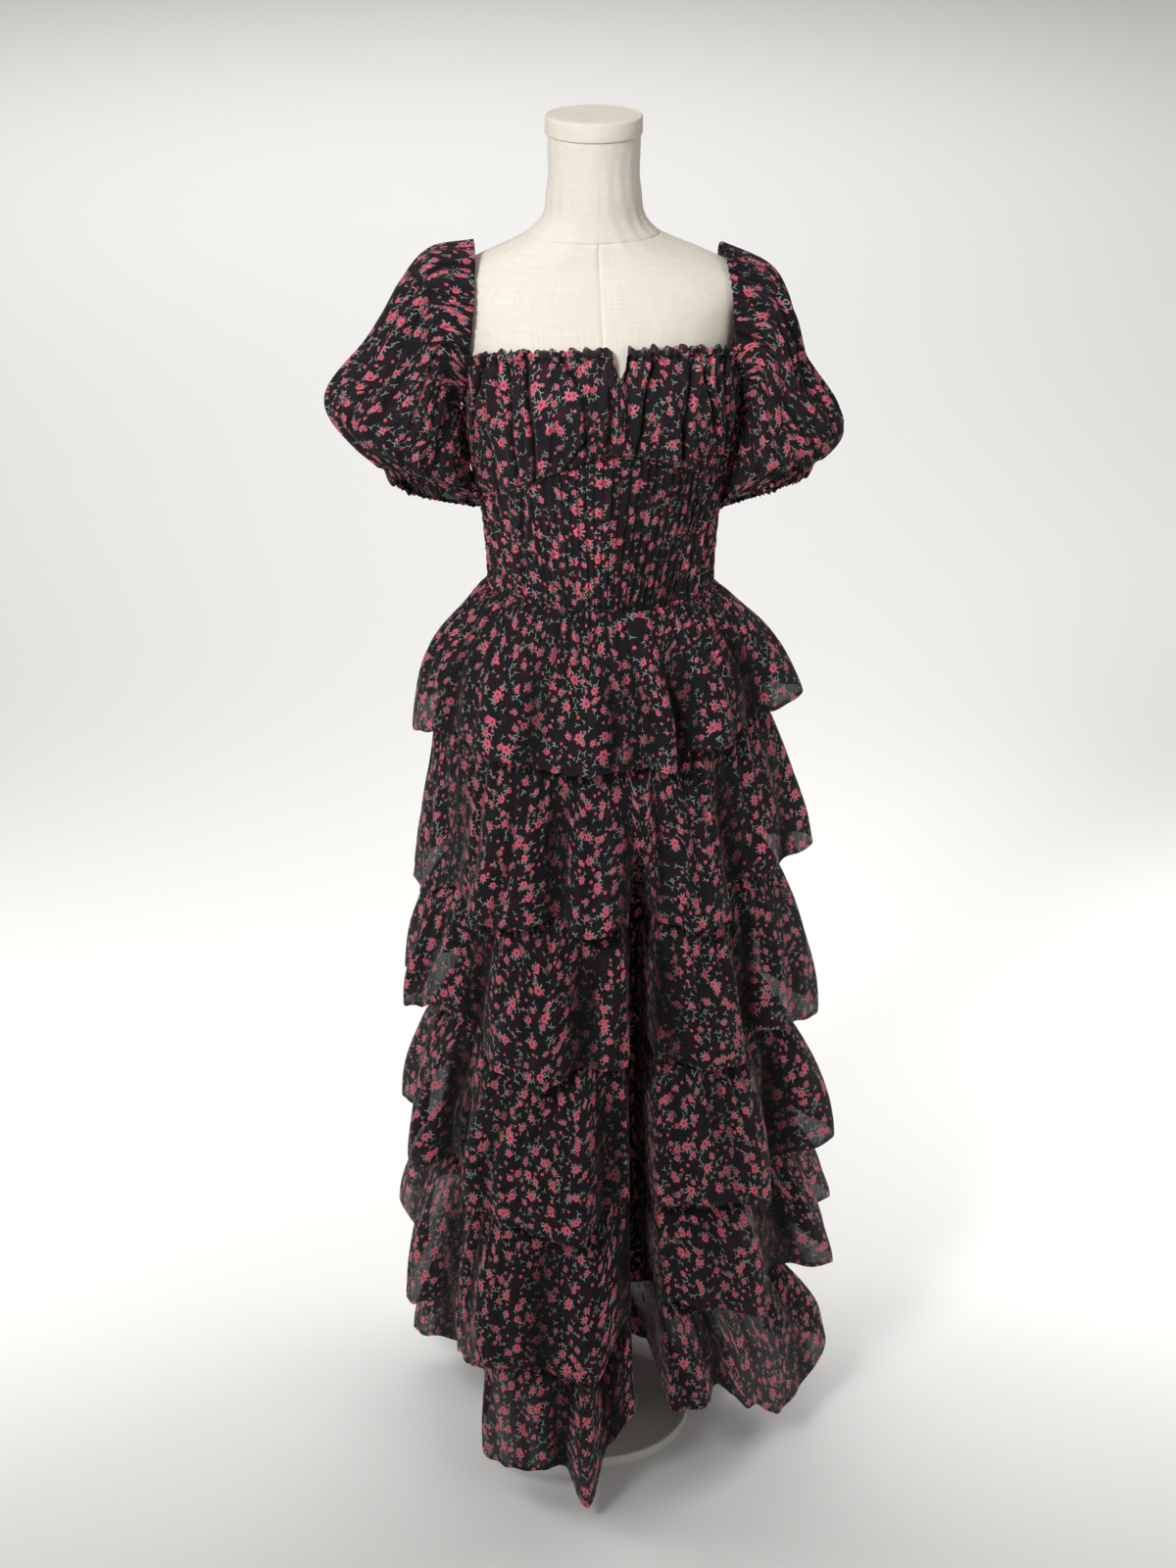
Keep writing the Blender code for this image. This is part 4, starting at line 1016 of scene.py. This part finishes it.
class DRESS_OT_arm_plates(bpy.types.Operator):
    """Build the two oval plates that close the form's arms, each with a rounded rim"""
    bl_idname = "dress.arm_plates"
    bl_label = "Arm plates"

    def execute(self, context):
        plane_height, plane_half, widening = ARM_PLANE
        tilt = math.atan(widening)
        paint = shared("powder_coated_steel", satin_paint)
        for side, node in ((-1, "form_arm_plate_left"), (1, "form_arm_plate_right")):
            bpy.ops.object.select_all(action="DESELECT")
            bpy.ops.mesh.primitive_cylinder_add(vertices=64, radius=1.0, depth=PLATE_THICK)
            piece = context.active_object
            piece.name = piece.data.name = node.replace("form_", "")
            piece.scale = (PLATE_HALF[0], PLATE_HALF[1], 1.0)
            bpy.ops.object.transform_apply(location=True, rotation=True, scale=True)
            bpy.ops.object.mode_set(mode="EDIT")
            bpy.ops.mesh.select_mode(type="FACE")
            select_faces(piece, lambda face: face.normal.z > 0.9)
            bpy.ops.mesh.inset(thickness=0.003, depth=0.0)
            bpy.ops.mesh.inset(thickness=0.0012, depth=-0.0009)
            bpy.ops.object.mode_set(mode="OBJECT")
            rim = piece.modifiers.new("rim", "BEVEL")
            rim.width, rim.segments, rim.limit_method = 0.0008, 2, "ANGLE"
            bpy.ops.object.modifier_apply(modifier="rim")
            turn = math.pi / 2 + tilt if side > 0 else -(math.pi / 2 + tilt)
            piece.rotation_euler = (0.0, turn, 0.0)
            x = plane_half + (PLATE_MIDDLE[1] - plane_height) * widening
            off = PLATE_THICK / 2 + 2 * SEAM_GAP
            piece.location = (side * (x + math.cos(tilt) * off), PLATE_MIDDLE[0],
                              PLATE_MIDDLE[1] - math.sin(tilt) * off)
            finish_hard_piece(piece, node, paint)
        return {"FINISHED"}


class DRESS_OT_stand(bpy.types.Operator):
    """Build the pole with its collar and the round base with its stepped rim"""
    bl_idname = "dress.stand"
    bl_label = "Stand"

    def execute(self, context):
        paint = shared("powder_coated_steel", satin_paint)
        base_low, base_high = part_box("form_base")
        radius, top = base_high[0], base_high[2]
        base = turned_piece("round_base", radius, base_low[2], top)
        select_faces(base, lambda face: face.normal.z > 0.9)
        bpy.ops.mesh.inset(thickness=0.006, depth=0.0)
        bpy.ops.mesh.inset(thickness=0.0015, depth=-0.0012)
        bpy.ops.mesh.inset(thickness=0.05, depth=0.0)
        bpy.ops.mesh.inset(thickness=0.0015, depth=0.0012)
        bpy.ops.mesh.select_mode(type="EDGE")
        select_edges(base, lambda edge: rim_edge(edge, (base_low[2], top), radius))
        bpy.ops.mesh.bevel(offset=0.002, segments=4, affect="EDGES")
        bpy.ops.object.mode_set(mode="OBJECT")
        finish_hard_piece(base, "form_base", paint)
        pole_low, pole_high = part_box("form_pole")
        pole = turned_piece("pole", pole_high[0], pole_low[2], pole_high[2], 64)
        collar_top = pole_low[2] + 0.030
        for cut in (collar_top, pole_low[2] + 0.033):
            bpy.ops.mesh.select_all(action="SELECT")
            bpy.ops.mesh.bisect(plane_co=(0.0, 0.0, cut), plane_no=(0.0, 0.0, 1.0))
        bpy.ops.mesh.select_mode(type="FACE")
        select_faces(pole, lambda face: abs(face.normal.z) < 0.1
                     and face.calc_center_median().z < collar_top)
        bpy.ops.transform.shrink_fatten(value=0.004)
        bpy.ops.object.mode_set(mode="OBJECT")
        finish_hard_piece(pole, "form_pole", paint)
        return {"FINISHED"}


def bodice_sheet(sides, columns, rows, foot, head, relief):
    """A panel's points, and how bunched its cloth is and its painted shade, between two sides of the dress.

    sides gives the panel's two angles from the share down; relief gives, from the share across,
    the angle, the share down and the metres below the head and above the foot, how far the
    cloth lifts, and how bunched it is together with its painted shade."""
    across = np.linspace(0.0, 1.0, columns)[None, :]
    down = np.linspace(0.0, 1.0, rows)[:, None]
    start, end = sides(down)
    angle = start + (end - start) * across
    top, bottom = head(angle), foot(angle)
    height = top + (bottom - top) * down
    lift, tuck = relief(across + 0 * angle, angle, down + 0 * angle, top - height, height - bottom)
    return on_dress(height, angle, FORM_GAP + CLOTH + lift), tuck, top - height


def bodice_foot(angle):
    return waist_seam(angle) - 0.001


def corset_sides(down):
    """The front's two seams: they slant inward to the waist, where the solids' are upright."""
    return -CORSET_HALF + 9.0 * down ** 1.8, CORSET_HALF - 12.5 * down ** 1.8


class DRESS_OT_bust_cups(bpy.types.Operator):
    """Build the two gathered cups with their frilled upper edge"""
    bl_idname = "dress.bust_cups"
    bl_label = "Bust cups"

    def execute(self, context):
        frill = context.scene.cloth_sizes.frill

        def foot(angle):
            return underbust(angle) - 0.0022

        def head(angle):
            turn = np.radians(angle)
            return (neck_edge(angle) + 0.0022 * uneven_waves(turn, 62, 5, 0.4)
                    + 0.0010 * uneven_waves(turn, 118, 6))

        def relief(across, angle, down, below_edge, above_seam):
            turn = np.radians(angle)
            below = np.maximum(below_edge - frill, 0.0)
            near_top, near_seam = np.exp(-below / 0.011), np.exp(-above_seam / 0.014)
            top_gathers = uneven_waves(turn + 0.03 * down, 104, 21, 0.3)
            seam_gathers = uneven_waves(turn - 0.04 * down, 92, 23, 0.3)
            long_folds = uneven_waves(turn + 0.08 * np.sin(3 * down), 34, 27, 0.4)
            lift = CUP_PUFF * np.sin(math.pi * np.clip(down, 0.0, 1.0)) ** 0.8 + 0.0022
            lift = lift + 0.0018 * top_gathers * near_top + 0.0021 * seam_gathers * near_seam
            lift = lift + 0.0015 * long_folds * np.sin(math.pi * down) ** 0.5
            lift = lift + 0.0008 * soft_noise(angle / 11.0, down * 2.5, 8)
            # deep is painted shade in the creases, for the material to darken them
            deep = 0.0 * angle
            for first, middle, last, start, end, depth in CUP_CREASES:
                path = (first + (4 * middle - 3 * first - last) * down
                        + 2 * (first + last - 2 * middle) * down ** 2)
                away = angle - path - 0.5 * np.sin(9 * down + first)
                held = (soft_step(down, start - 0.05, start + 0.10)
                        * (1 - soft_step(down, end - 0.10, end + 0.05)))
                deep = np.maximum(deep, 1.2 * depth * held * np.exp(-(away / 1.1) ** 2))
                lift = lift - 0.0034 * depth * held * np.exp(-(away / 1.0) ** 2)
                lift = lift + 0.0020 * depth * held * np.exp(-((np.abs(away) - 2.8) / 1.6) ** 2)
            elastic = np.exp(-((below_edge - frill) / 0.0012) ** 2)
            seam = np.exp(-((above_seam - 0.0022) / 0.0012) ** 2)
            overhang = np.exp(-((above_seam - 0.0095) / 0.0055) ** 2)
            lift = lift - 0.0016 * elastic - 0.0020 * seam + 0.0026 * overhang
            edge = np.clip(1 - below_edge / frill, 0.0, 1.0)
            flare = uneven_waves(turn, 62, 15, 0.5) + 0.4 * uneven_waves(turn, 100, 16, 0.3)
            lift = np.maximum(lift, 0.0002) + edge * (0.0036 + 0.0034 * flare)
            # Painted shade, with bunching: darker between the gathers and folds, at the elastic and along
            # the seam
            bunched = (np.clip(-top_gathers, 0, 1) ** 1.5 * near_top * (edge <= 0)
                       + np.clip(-seam_gathers, 0, 1) ** 1.5 * near_seam
                       + 0.35 * np.clip(-long_folds, 0, 1) ** 2)
            return lift, np.clip(0.95 * deep + 0.8 * bunched + 0.6 * elastic + 0.8 * seam, 0.0, 1.0)

        for side, sign in (("left", -1), ("right", 1)):
            ends = (-CUP_SIDE, 0.0) if sign < 0 else (0.0, CUP_SIDE)
            grid, tuck, below_edge = bodice_sheet(lambda down: ends, 320, 96, foot, head, relief)
            lined = soft_step(below_edge, 0.85 * frill, frill)
            cloth_piece("cloth_cup_" + side, "bust_cup_" + side, grid, False, chiffon(),
                        (1.3 + sign * 0.7, 2.1), tuck, lined, width_row=48)
        return {"FINISHED"}


class DRESS_OT_corset_front(bpy.types.Operator):
    """Build the pintucked front between the cups and the waist"""
    bl_idname = "dress.corset_front"
    bl_label = "Pintucked front"

    def execute(self, context):
        sizes = context.scene.cloth_sizes

        def relief(across, angle, down, below_edge, above_seam):
            wander = 0.10 * soft_noise(across * 6.0, down * 1.2, 16)
            place = np.abs(across - 0.5) * sizes.tucks + 0.5 + wander
            inside = place - np.floor(place)
            crisp = 0.55 + 0.45 * soft_step(angle, -14.0, 8.0)
            ridge = soft_step(inside, 0.0, 0.10) * (1 - inside) ** 0.8
            uneven = 1 + 0.35 * soft_noise(across * 9.0, down * 2.0, 6)
            # line is a painted shadow along each pintuck's edge, fainter where the tucks are less crisp
            line = np.exp(-(np.minimum(inside, 1 - inside) / 0.16) ** 2)
            middle_seam = np.exp(-((across - 0.5) * 0.17 / 0.0009) ** 2)
            lift = sizes.tuck_rise * 1.35 * ridge * uneven * crisp - 0.0008 * middle_seam
            lift = lift + 0.0004 * soft_noise(across * 14, down * 6, 4) + 0.0006
            seam = np.exp(-(below_edge / 0.003) ** 2)
            # Painted shade, with bunching: the tuck edges, the middle seam and the under-bust seam are
            # darkened
            bunched = line * crisp * uneven + 0.5 * middle_seam + 0.8 * seam
            return np.maximum(lift - 0.0006 * seam, 0.0), np.clip(bunched, 0.0, 1.0)

        grid, tuck, _ = bodice_sheet(corset_sides, 401, 56, bodice_foot, underbust, relief)
        cloth_piece("cloth_front", "corset_front", grid, False, chiffon(),
                    (4.2, 0.4), tuck, 1.0, width_row=28)
        return {"FINISHED"}


class DRESS_OT_shirred_panels(bpy.types.Operator):
    """Build the crumpled side panels and the back, shirred on rows of elastic"""
    bl_idname = "dress.shirred_panels"
    bl_label = "Shirred panels"

    def execute(self, context):
        elastic_pitch = 0.0105

        def side_head(angle):
            return underbust(angle) + 0.001

        def crumple(across, angle, down, below_edge, above_seam):
            turn = np.radians(angle)
            lean = turn + 0.05 * np.sin(above_seam * 55 + angle * 0.15)
            pucker, longer = uneven_waves(lean, 120, 33, 0.4), uneven_waves(turn + 0.1 * down, 52, 35, 0.4)
            crossed = soft_noise(angle / 5.0, above_seam * 55.0, 12)
            lift = 0.0026 + 0.0010 * pucker * (0.6 + 0.4 * crossed) + 0.0011 * longer + 0.0008 * crossed
            lift = np.maximum(lift * soft_step(above_seam, -0.012, 0.010), 0.0)
            # Painted shade, with bunching: darker in the dips of the puckers and of the long folds
            bunched = 0.8 * np.clip(-pucker, 0, 1) ** 1.5 + 0.5 * np.clip(-longer, 0, 1) ** 2
            return lift, np.clip(bunched, 0, 1)

        def shirring(across, angle, down, below_edge, above_seam):
            turn = np.radians(angle)
            row = np.abs(np.sin(math.pi * above_seam / elastic_pitch))
            lean = turn + 0.03 * np.sin(above_seam * 70 + angle * 0.2)
            pucker, longer = uneven_waves(lean, 150, 33), uneven_waves(turn, 60, 35)
            edge = np.clip(1 - below_edge / 0.008, 0.0, 1.0)
            flare = 0.5 + 0.5 * uneven_waves(turn, 62, 37, 0.5)
            lift = (row * (0.0012 + 0.0007 * pucker) + 0.0007 * longer + 0.0010
                    + edge * (0.001 + 0.004 * flare))
            # Painted shade, with bunching: darker in the dips of the puckers and along the elastic rows
            return lift, np.clip(0.6 * np.clip(-pucker, 0, 1) ** 1.5 + 0.5 * (1 - row) ** 3, 0, 1)

        for side, sides, place in (
                ("right", lambda down: (corset_sides(down)[1], CUP_SIDE), 5.3),
                ("left", lambda down: (-CUP_SIDE, corset_sides(down)[0]), 6.1)):
            grid, tuck, _ = bodice_sheet(sides, 220, 110, bodice_foot, side_head, crumple)
            cloth_piece("cloth_side_" + side, "side_panel_" + side, grid, False, chiffon(),
                        (place, 0.2), tuck, 1.0, width_row=55)
        grid, tuck, below_edge = bodice_sheet(lambda down: (CUP_SIDE, 360 - CUP_SIDE), 520, 150,
                                              bodice_foot, neck_edge, shirring)
        cloth_piece("cloth_back", "back_panel", grid, False, chiffon(),
                    (7.4, 3.2), tuck, soft_step(below_edge, 0.006, 0.009), width_row=75)
        return {"FINISHED"}


def beside_bodice(side, height, angle, out):
    """A point off the bodice, which hangs further off the form on the right."""
    ease = along(SIDE_EASE, height)[0] if side == "right" else 0.0
    return form_point(height, angle, out, ease)


def armhole_point(side, turn):
    """The sleeve's upper ring: over the shoulder, then along the bodice under the arm."""
    off = FORM_GAP + CLOTH + GATHER_RISE + SEAM_GAP + CLOTH
    if 90.0 <= turn <= 270.0:
        angle = CORNER_FRONT + (CORNER_BACK - CORNER_FRONT) * (turn - 90.0) / 180.0
        dip = math.sin(math.radians(turn - 90.0))
        return beside_bodice(side, neck_edge(angle - DRESS_TURN) - 0.008, angle, off + 0.006 * dip)
    front = beside_bodice(side, NECK_CORNER - 0.008, CORNER_FRONT, off)
    back = beside_bodice(side, BACK_EDGE - 0.008, CORNER_BACK, off)
    middle = (front + back) / 2
    corner = front if turn < 180 else back
    up = abs(math.cos(math.radians(turn))) ** SHOULDER_SQUARE
    out = abs(math.sin(math.radians(turn))) ** SHOULDER_SQUARE
    x, y, height = middle + (np.array(SHOULDER_TOP[side]) - middle) * up + (corner - middle) * out
    wide, deep_front, deep_back = smooth_along(FORM_SECTIONS, height)
    deep = deep_front if y < 0 else deep_back
    clear = deep * math.sqrt(max(0.0, 1 - (x / wide) ** 2)) + off + SHOULDER_EASE
    if x < wide:
        y = math.copysign(max(abs(y), clear), y)
    return np.array([x, y, height])


def through_rings(rings, count):
    """Rows on smooth curves through a few rings of points, column by column."""
    places = np.linspace(0, len(rings) - 1, count)
    padded = np.concatenate([2 * rings[:1] - rings[1:2], rings, 2 * rings[-1:] - rings[-2:-1]])
    i = np.minimum(places.astype(int), len(rings) - 2)
    t = (places - i)[:, None, None]
    a, b, c, d = padded[i], padded[i + 1], padded[i + 2], padded[i + 3]
    return 0.5 * (2 * b + (c - a) * t + (2 * a - 5 * b + 4 * c - d) * t ** 2
                  + (3 * b - a - 3 * c + d) * t ** 3)


class DRESS_OT_sleeves(bpy.types.Operator):
    """Build the two balloon sleeves, gathered at the shoulder and at their elastic"""
    bl_idname = "dress.sleeves"
    bl_label = "Puff sleeves"

    def execute(self, context):
        columns = 300
        turns = 360.0 * np.arange(columns) / columns
        for side, sign in (("left", -1), ("right", 1)):
            rings = [np.array([armhole_point(side, turn) for turn in turns])]
            for out_x, out_z, in_x, in_z, deep, lean in SLEEVE_RINGS[side]:
                middle = np.array([(out_x + in_x) / 2, SLEEVE_MIDDLE_Y, (out_z + in_z) / 2])
                outward = np.array([(out_x - in_x) / 2, 0.0, (out_z - in_z) / 2])
                forward = np.array([0.0, -deep, lean])
                a = np.radians(turns)[:, None]
                inward = np.clip(-np.cos(a), 0.0, 1.0) ** 2 * np.array([SLEEVE_INWARD[side], 0.0, 0.0])
                rings.append(middle + outward * np.cos(a) + forward * np.sin(a) - inward)
            grid = through_rings(np.array(rings), 96)
            grid[..., 0] *= sign
            if sign > 0:
                grid = grid[:, ::-1]
            down = np.linspace(0.0, 1.0, len(grid))[:, None]
            turn = np.radians(turns)[None, :] + 0 * down
            gathers = uneven_waves(turn + 0.10 * down, 66, 81 + sign, 0.3)
            cuff = uneven_waves(turn, 60, 84 + sign, 0.3)
            folds = uneven_waves(turn + 0.18 * np.sin(2.2 * down), 14, 87 + sign, 0.4)
            creases = uneven_waves(turn + 0.14 * np.sin(3.1 * down + 1), 31, 90 + sign, 0.4)
            near_top, near_cuff = np.exp(-down / 0.17), np.exp(-np.abs(SLEEVE_ELASTIC - down) / 0.11)
            belly = np.sin(math.pi * down)
            push = (0.0022 * (0.7 + gathers) * near_top + 0.0022 * (0.7 + cuff) * near_cuff
                    + 0.0046 * folds * belly ** 0.8 + 0.0024 * creases * belly ** 0.6)
            pinch = -0.0035 * np.exp(-((down - SLEEVE_ELASTIC) / 0.012) ** 2)
            flare = soft_step(down, 0.95, 1.0) * (0.003 + 0.003 * cuff)
            grid = grid + grid_normals(grid, True) * (push + pinch + flare)[..., None]
            # Painted shade, with bunching: darker in the dips of the gathers, the cuff, the folds and the
            # creases
            tuck = (0.9 * np.clip(-gathers, 0, 1) ** 1.5 * near_top
                    + 0.9 * np.clip(-cuff, 0, 1) ** 1.5 * near_cuff
                    + 0.5 * np.clip(-folds, 0, 1) ** 3 + 0.6 * np.clip(-creases, 0, 1) ** 3)
            cloth_piece("cloth_sleeve_" + side, "sleeve_" + side, grid, True, chiffon(),
                        (8.5 + sign, 5.0), np.clip(tuck, 0.0, 1.0), width_row=52)
        return {"FINISHED"}


class DRESS_OT_underskirt(bpy.types.Operator):
    """Build the dark underskirt that the ruffles are sewn to"""
    bl_idname = "dress.underskirt"
    bl_label = "Underskirt"

    def execute(self, context):
        grid, _ = skirt_grid(0, np.linspace(0.0, 1.0, 60), 260, 14)
        cloth_piece("lining_skirt", "underskirt", grid, True, shared("black_lining", lining_cloth),
                    (0.0, 0.0))
        return {"FINISHED"}


class DRESS_OT_ruffles(bpy.types.Operator):
    """Build the peplum and the five ruffles below it, each gathered along its seam"""
    bl_idname = "dress.ruffles"
    bl_label = "Ruffles"

    def execute(self, context):
        downs = np.concatenate([np.linspace(0.0, 0.30, 14), np.linspace(0.30, 0.97, 24)[1:],
                                [0.978, 0.986, 0.993, 1.0]])
        for number in TIER_FOLDS:
            grid, angle = skirt_grid(number, downs, 640, 16)
            tuck = ruffle_bunching_and_shade(number, angle, downs[:, None] + 0 * angle)
            cloth_piece("ruffle_%d" % number, "tier_%d" % number, grid, True, chiffon(),
                        (1.7 * number, 0.9 * number), tuck)
        return {"FINISHED"}


class DRESS_OT_studio(bpy.types.Operator):
    """Set up the pale floor, the soft lights and the camera at the picture's angle"""
    bl_idname = "dress.studio"
    bl_label = "Studio"

    def execute(self, context):
        scene = context.scene
        bpy.ops.object.select_all(action="DESELECT")
        bpy.ops.mesh.primitive_plane_add(size=80.0, location=(0.0, 0.0, -0.0005))
        floor = context.active_object
        floor.name = "studio_floor"
        floor.data.materials.append(studio_floor())

        world = bpy.data.worlds.new("soft_white_room")
        world.use_nodes = True
        background = world.node_tree.nodes["Background"]
        background.inputs["Color"].default_value = (1.0, 0.985, 0.965, 1.0)
        background.inputs["Strength"].default_value = 0.29
        scene.world = world
        scene.view_settings.view_transform = "Standard"
        # Softboxes: place, aim, width, spread in degrees, power. The last four aim at the floor
        lamps = [("key_softbox", (-1.7, -2.5, 3.1), (0.0, 0.0, 1.28), 1.0, 42.0, 6.4),
                 ("fill_softbox", (2.4, -2.6, 2.2), (0.0, 0.0, 1.25), 1.4, 50.0, 1.2),
                 ("floor_softbox_left", (-1.7, 0.7, 1.3), (-1.0, 0.5, 0.0), 1.2, 100.0, 6.5),
                 ("floor_softbox_right", (1.7, 0.7, 1.3), (1.0, 0.5, 0.0), 1.2, 100.0, 6.5),
                 ("floor_softbox_near", (0.0, 2.2, 3.4), (0.0, 2.6, 0.0), 3.0, 120.0, 27.0),
                 ("floor_softbox_far", (0.0, 6.5, 3.6), (0.0, 7.0, 0.0), 5.0, 150.0, 85.0)]
        for name, place, target, size, spread, power in lamps:
            lamp = bpy.data.lights.new(name, "AREA")
            lamp.shape, lamp.size, lamp.energy, lamp.spread = "DISK", size, power, math.radians(spread)
            holder = bpy.data.objects.new(name, lamp)
            holder.location = place
            holder.rotation_euler = (Vector(target) - Vector(place)).to_track_quat("-Z", "Y").to_euler()
            scene.collection.objects.link(holder)

        # The camera stands 3 m from the upright axis, a little to the left, and looks down on it
        distance, height, azimuth, pitch = 3.0, 2.148, -5.5, 24.19
        focal_pixels, picture_long_side, axis_right_of_middle = 3170.0, 1600.0, 6.0
        camera = bpy.data.objects.new("camera", bpy.data.cameras.new("camera"))
        camera.data.sensor_width = 36.0
        camera.data.lens = focal_pixels / picture_long_side * camera.data.sensor_width
        turn = math.radians(azimuth)
        camera.location = (math.sin(turn) * distance, -math.cos(turn) * distance, height)
        yaw = turn + math.atan(axis_right_of_middle / focal_pixels)
        camera.rotation_euler = (math.radians(90 - pitch), 0.0, yaw)
        scene.collection.objects.link(camera)
        scene.camera = camera
        return {"FINISHED"}


class DRESS_PT_panel(bpy.types.Panel):
    """Sidebar panel with the sizes, the colours and a button for each piece"""
    bl_idname = "DRESS_PT_panel"
    bl_label = "Midi Dress"
    bl_space_type = "VIEW_3D"
    bl_region_type = "UI"
    bl_category = "Dress"

    def draw(self, context):
        scene = context.scene
        for group in (scene.cloth_sizes, scene.cloth_colours, scene.form_colours):
            box = self.layout.box()
            for key in group.bl_rna.properties.keys():
                if key not in {"rna_type", "name"}:
                    box.prop(group, key)
        for operator in OPERATORS:
            self.layout.operator(operator.bl_idname)


OPERATORS = (DRESS_OT_form_body, DRESS_OT_neck_cap, DRESS_OT_arm_plates, DRESS_OT_stand,
             DRESS_OT_bust_cups, DRESS_OT_corset_front, DRESS_OT_shirred_panels, DRESS_OT_sleeves,
             DRESS_OT_underskirt, DRESS_OT_ruffles, DRESS_OT_studio)
GROUPS = {"cloth_sizes": ClothSizes, "cloth_colours": ClothColours, "form_colours": FormColours}


def register():
    for name, group in GROUPS.items():
        bpy.utils.register_class(group)
        setattr(bpy.types.Scene, name, bpy.props.PointerProperty(type=group))
    for shown in OPERATORS + (DRESS_PT_panel,):
        bpy.utils.register_class(shown)


def unregister():
    for shown in (DRESS_PT_panel,) + OPERATORS[::-1]:
        bpy.utils.unregister_class(shown)
    for name, group in GROUPS.items():
        delattr(bpy.types.Scene, name)
        bpy.utils.unregister_class(group)


def main():
    register()
    bpy.ops.dress.form_body()
    bpy.ops.dress.neck_cap()
    bpy.ops.dress.arm_plates()
    bpy.ops.dress.stand()
    bpy.ops.dress.bust_cups()
    bpy.ops.dress.corset_front()
    bpy.ops.dress.shirred_panels()
    bpy.ops.dress.sleeves()
    bpy.ops.dress.underskirt()
    bpy.ops.dress.ruffles()
    bpy.ops.dress.studio()
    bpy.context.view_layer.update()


if __name__ == "__main__":
    main()
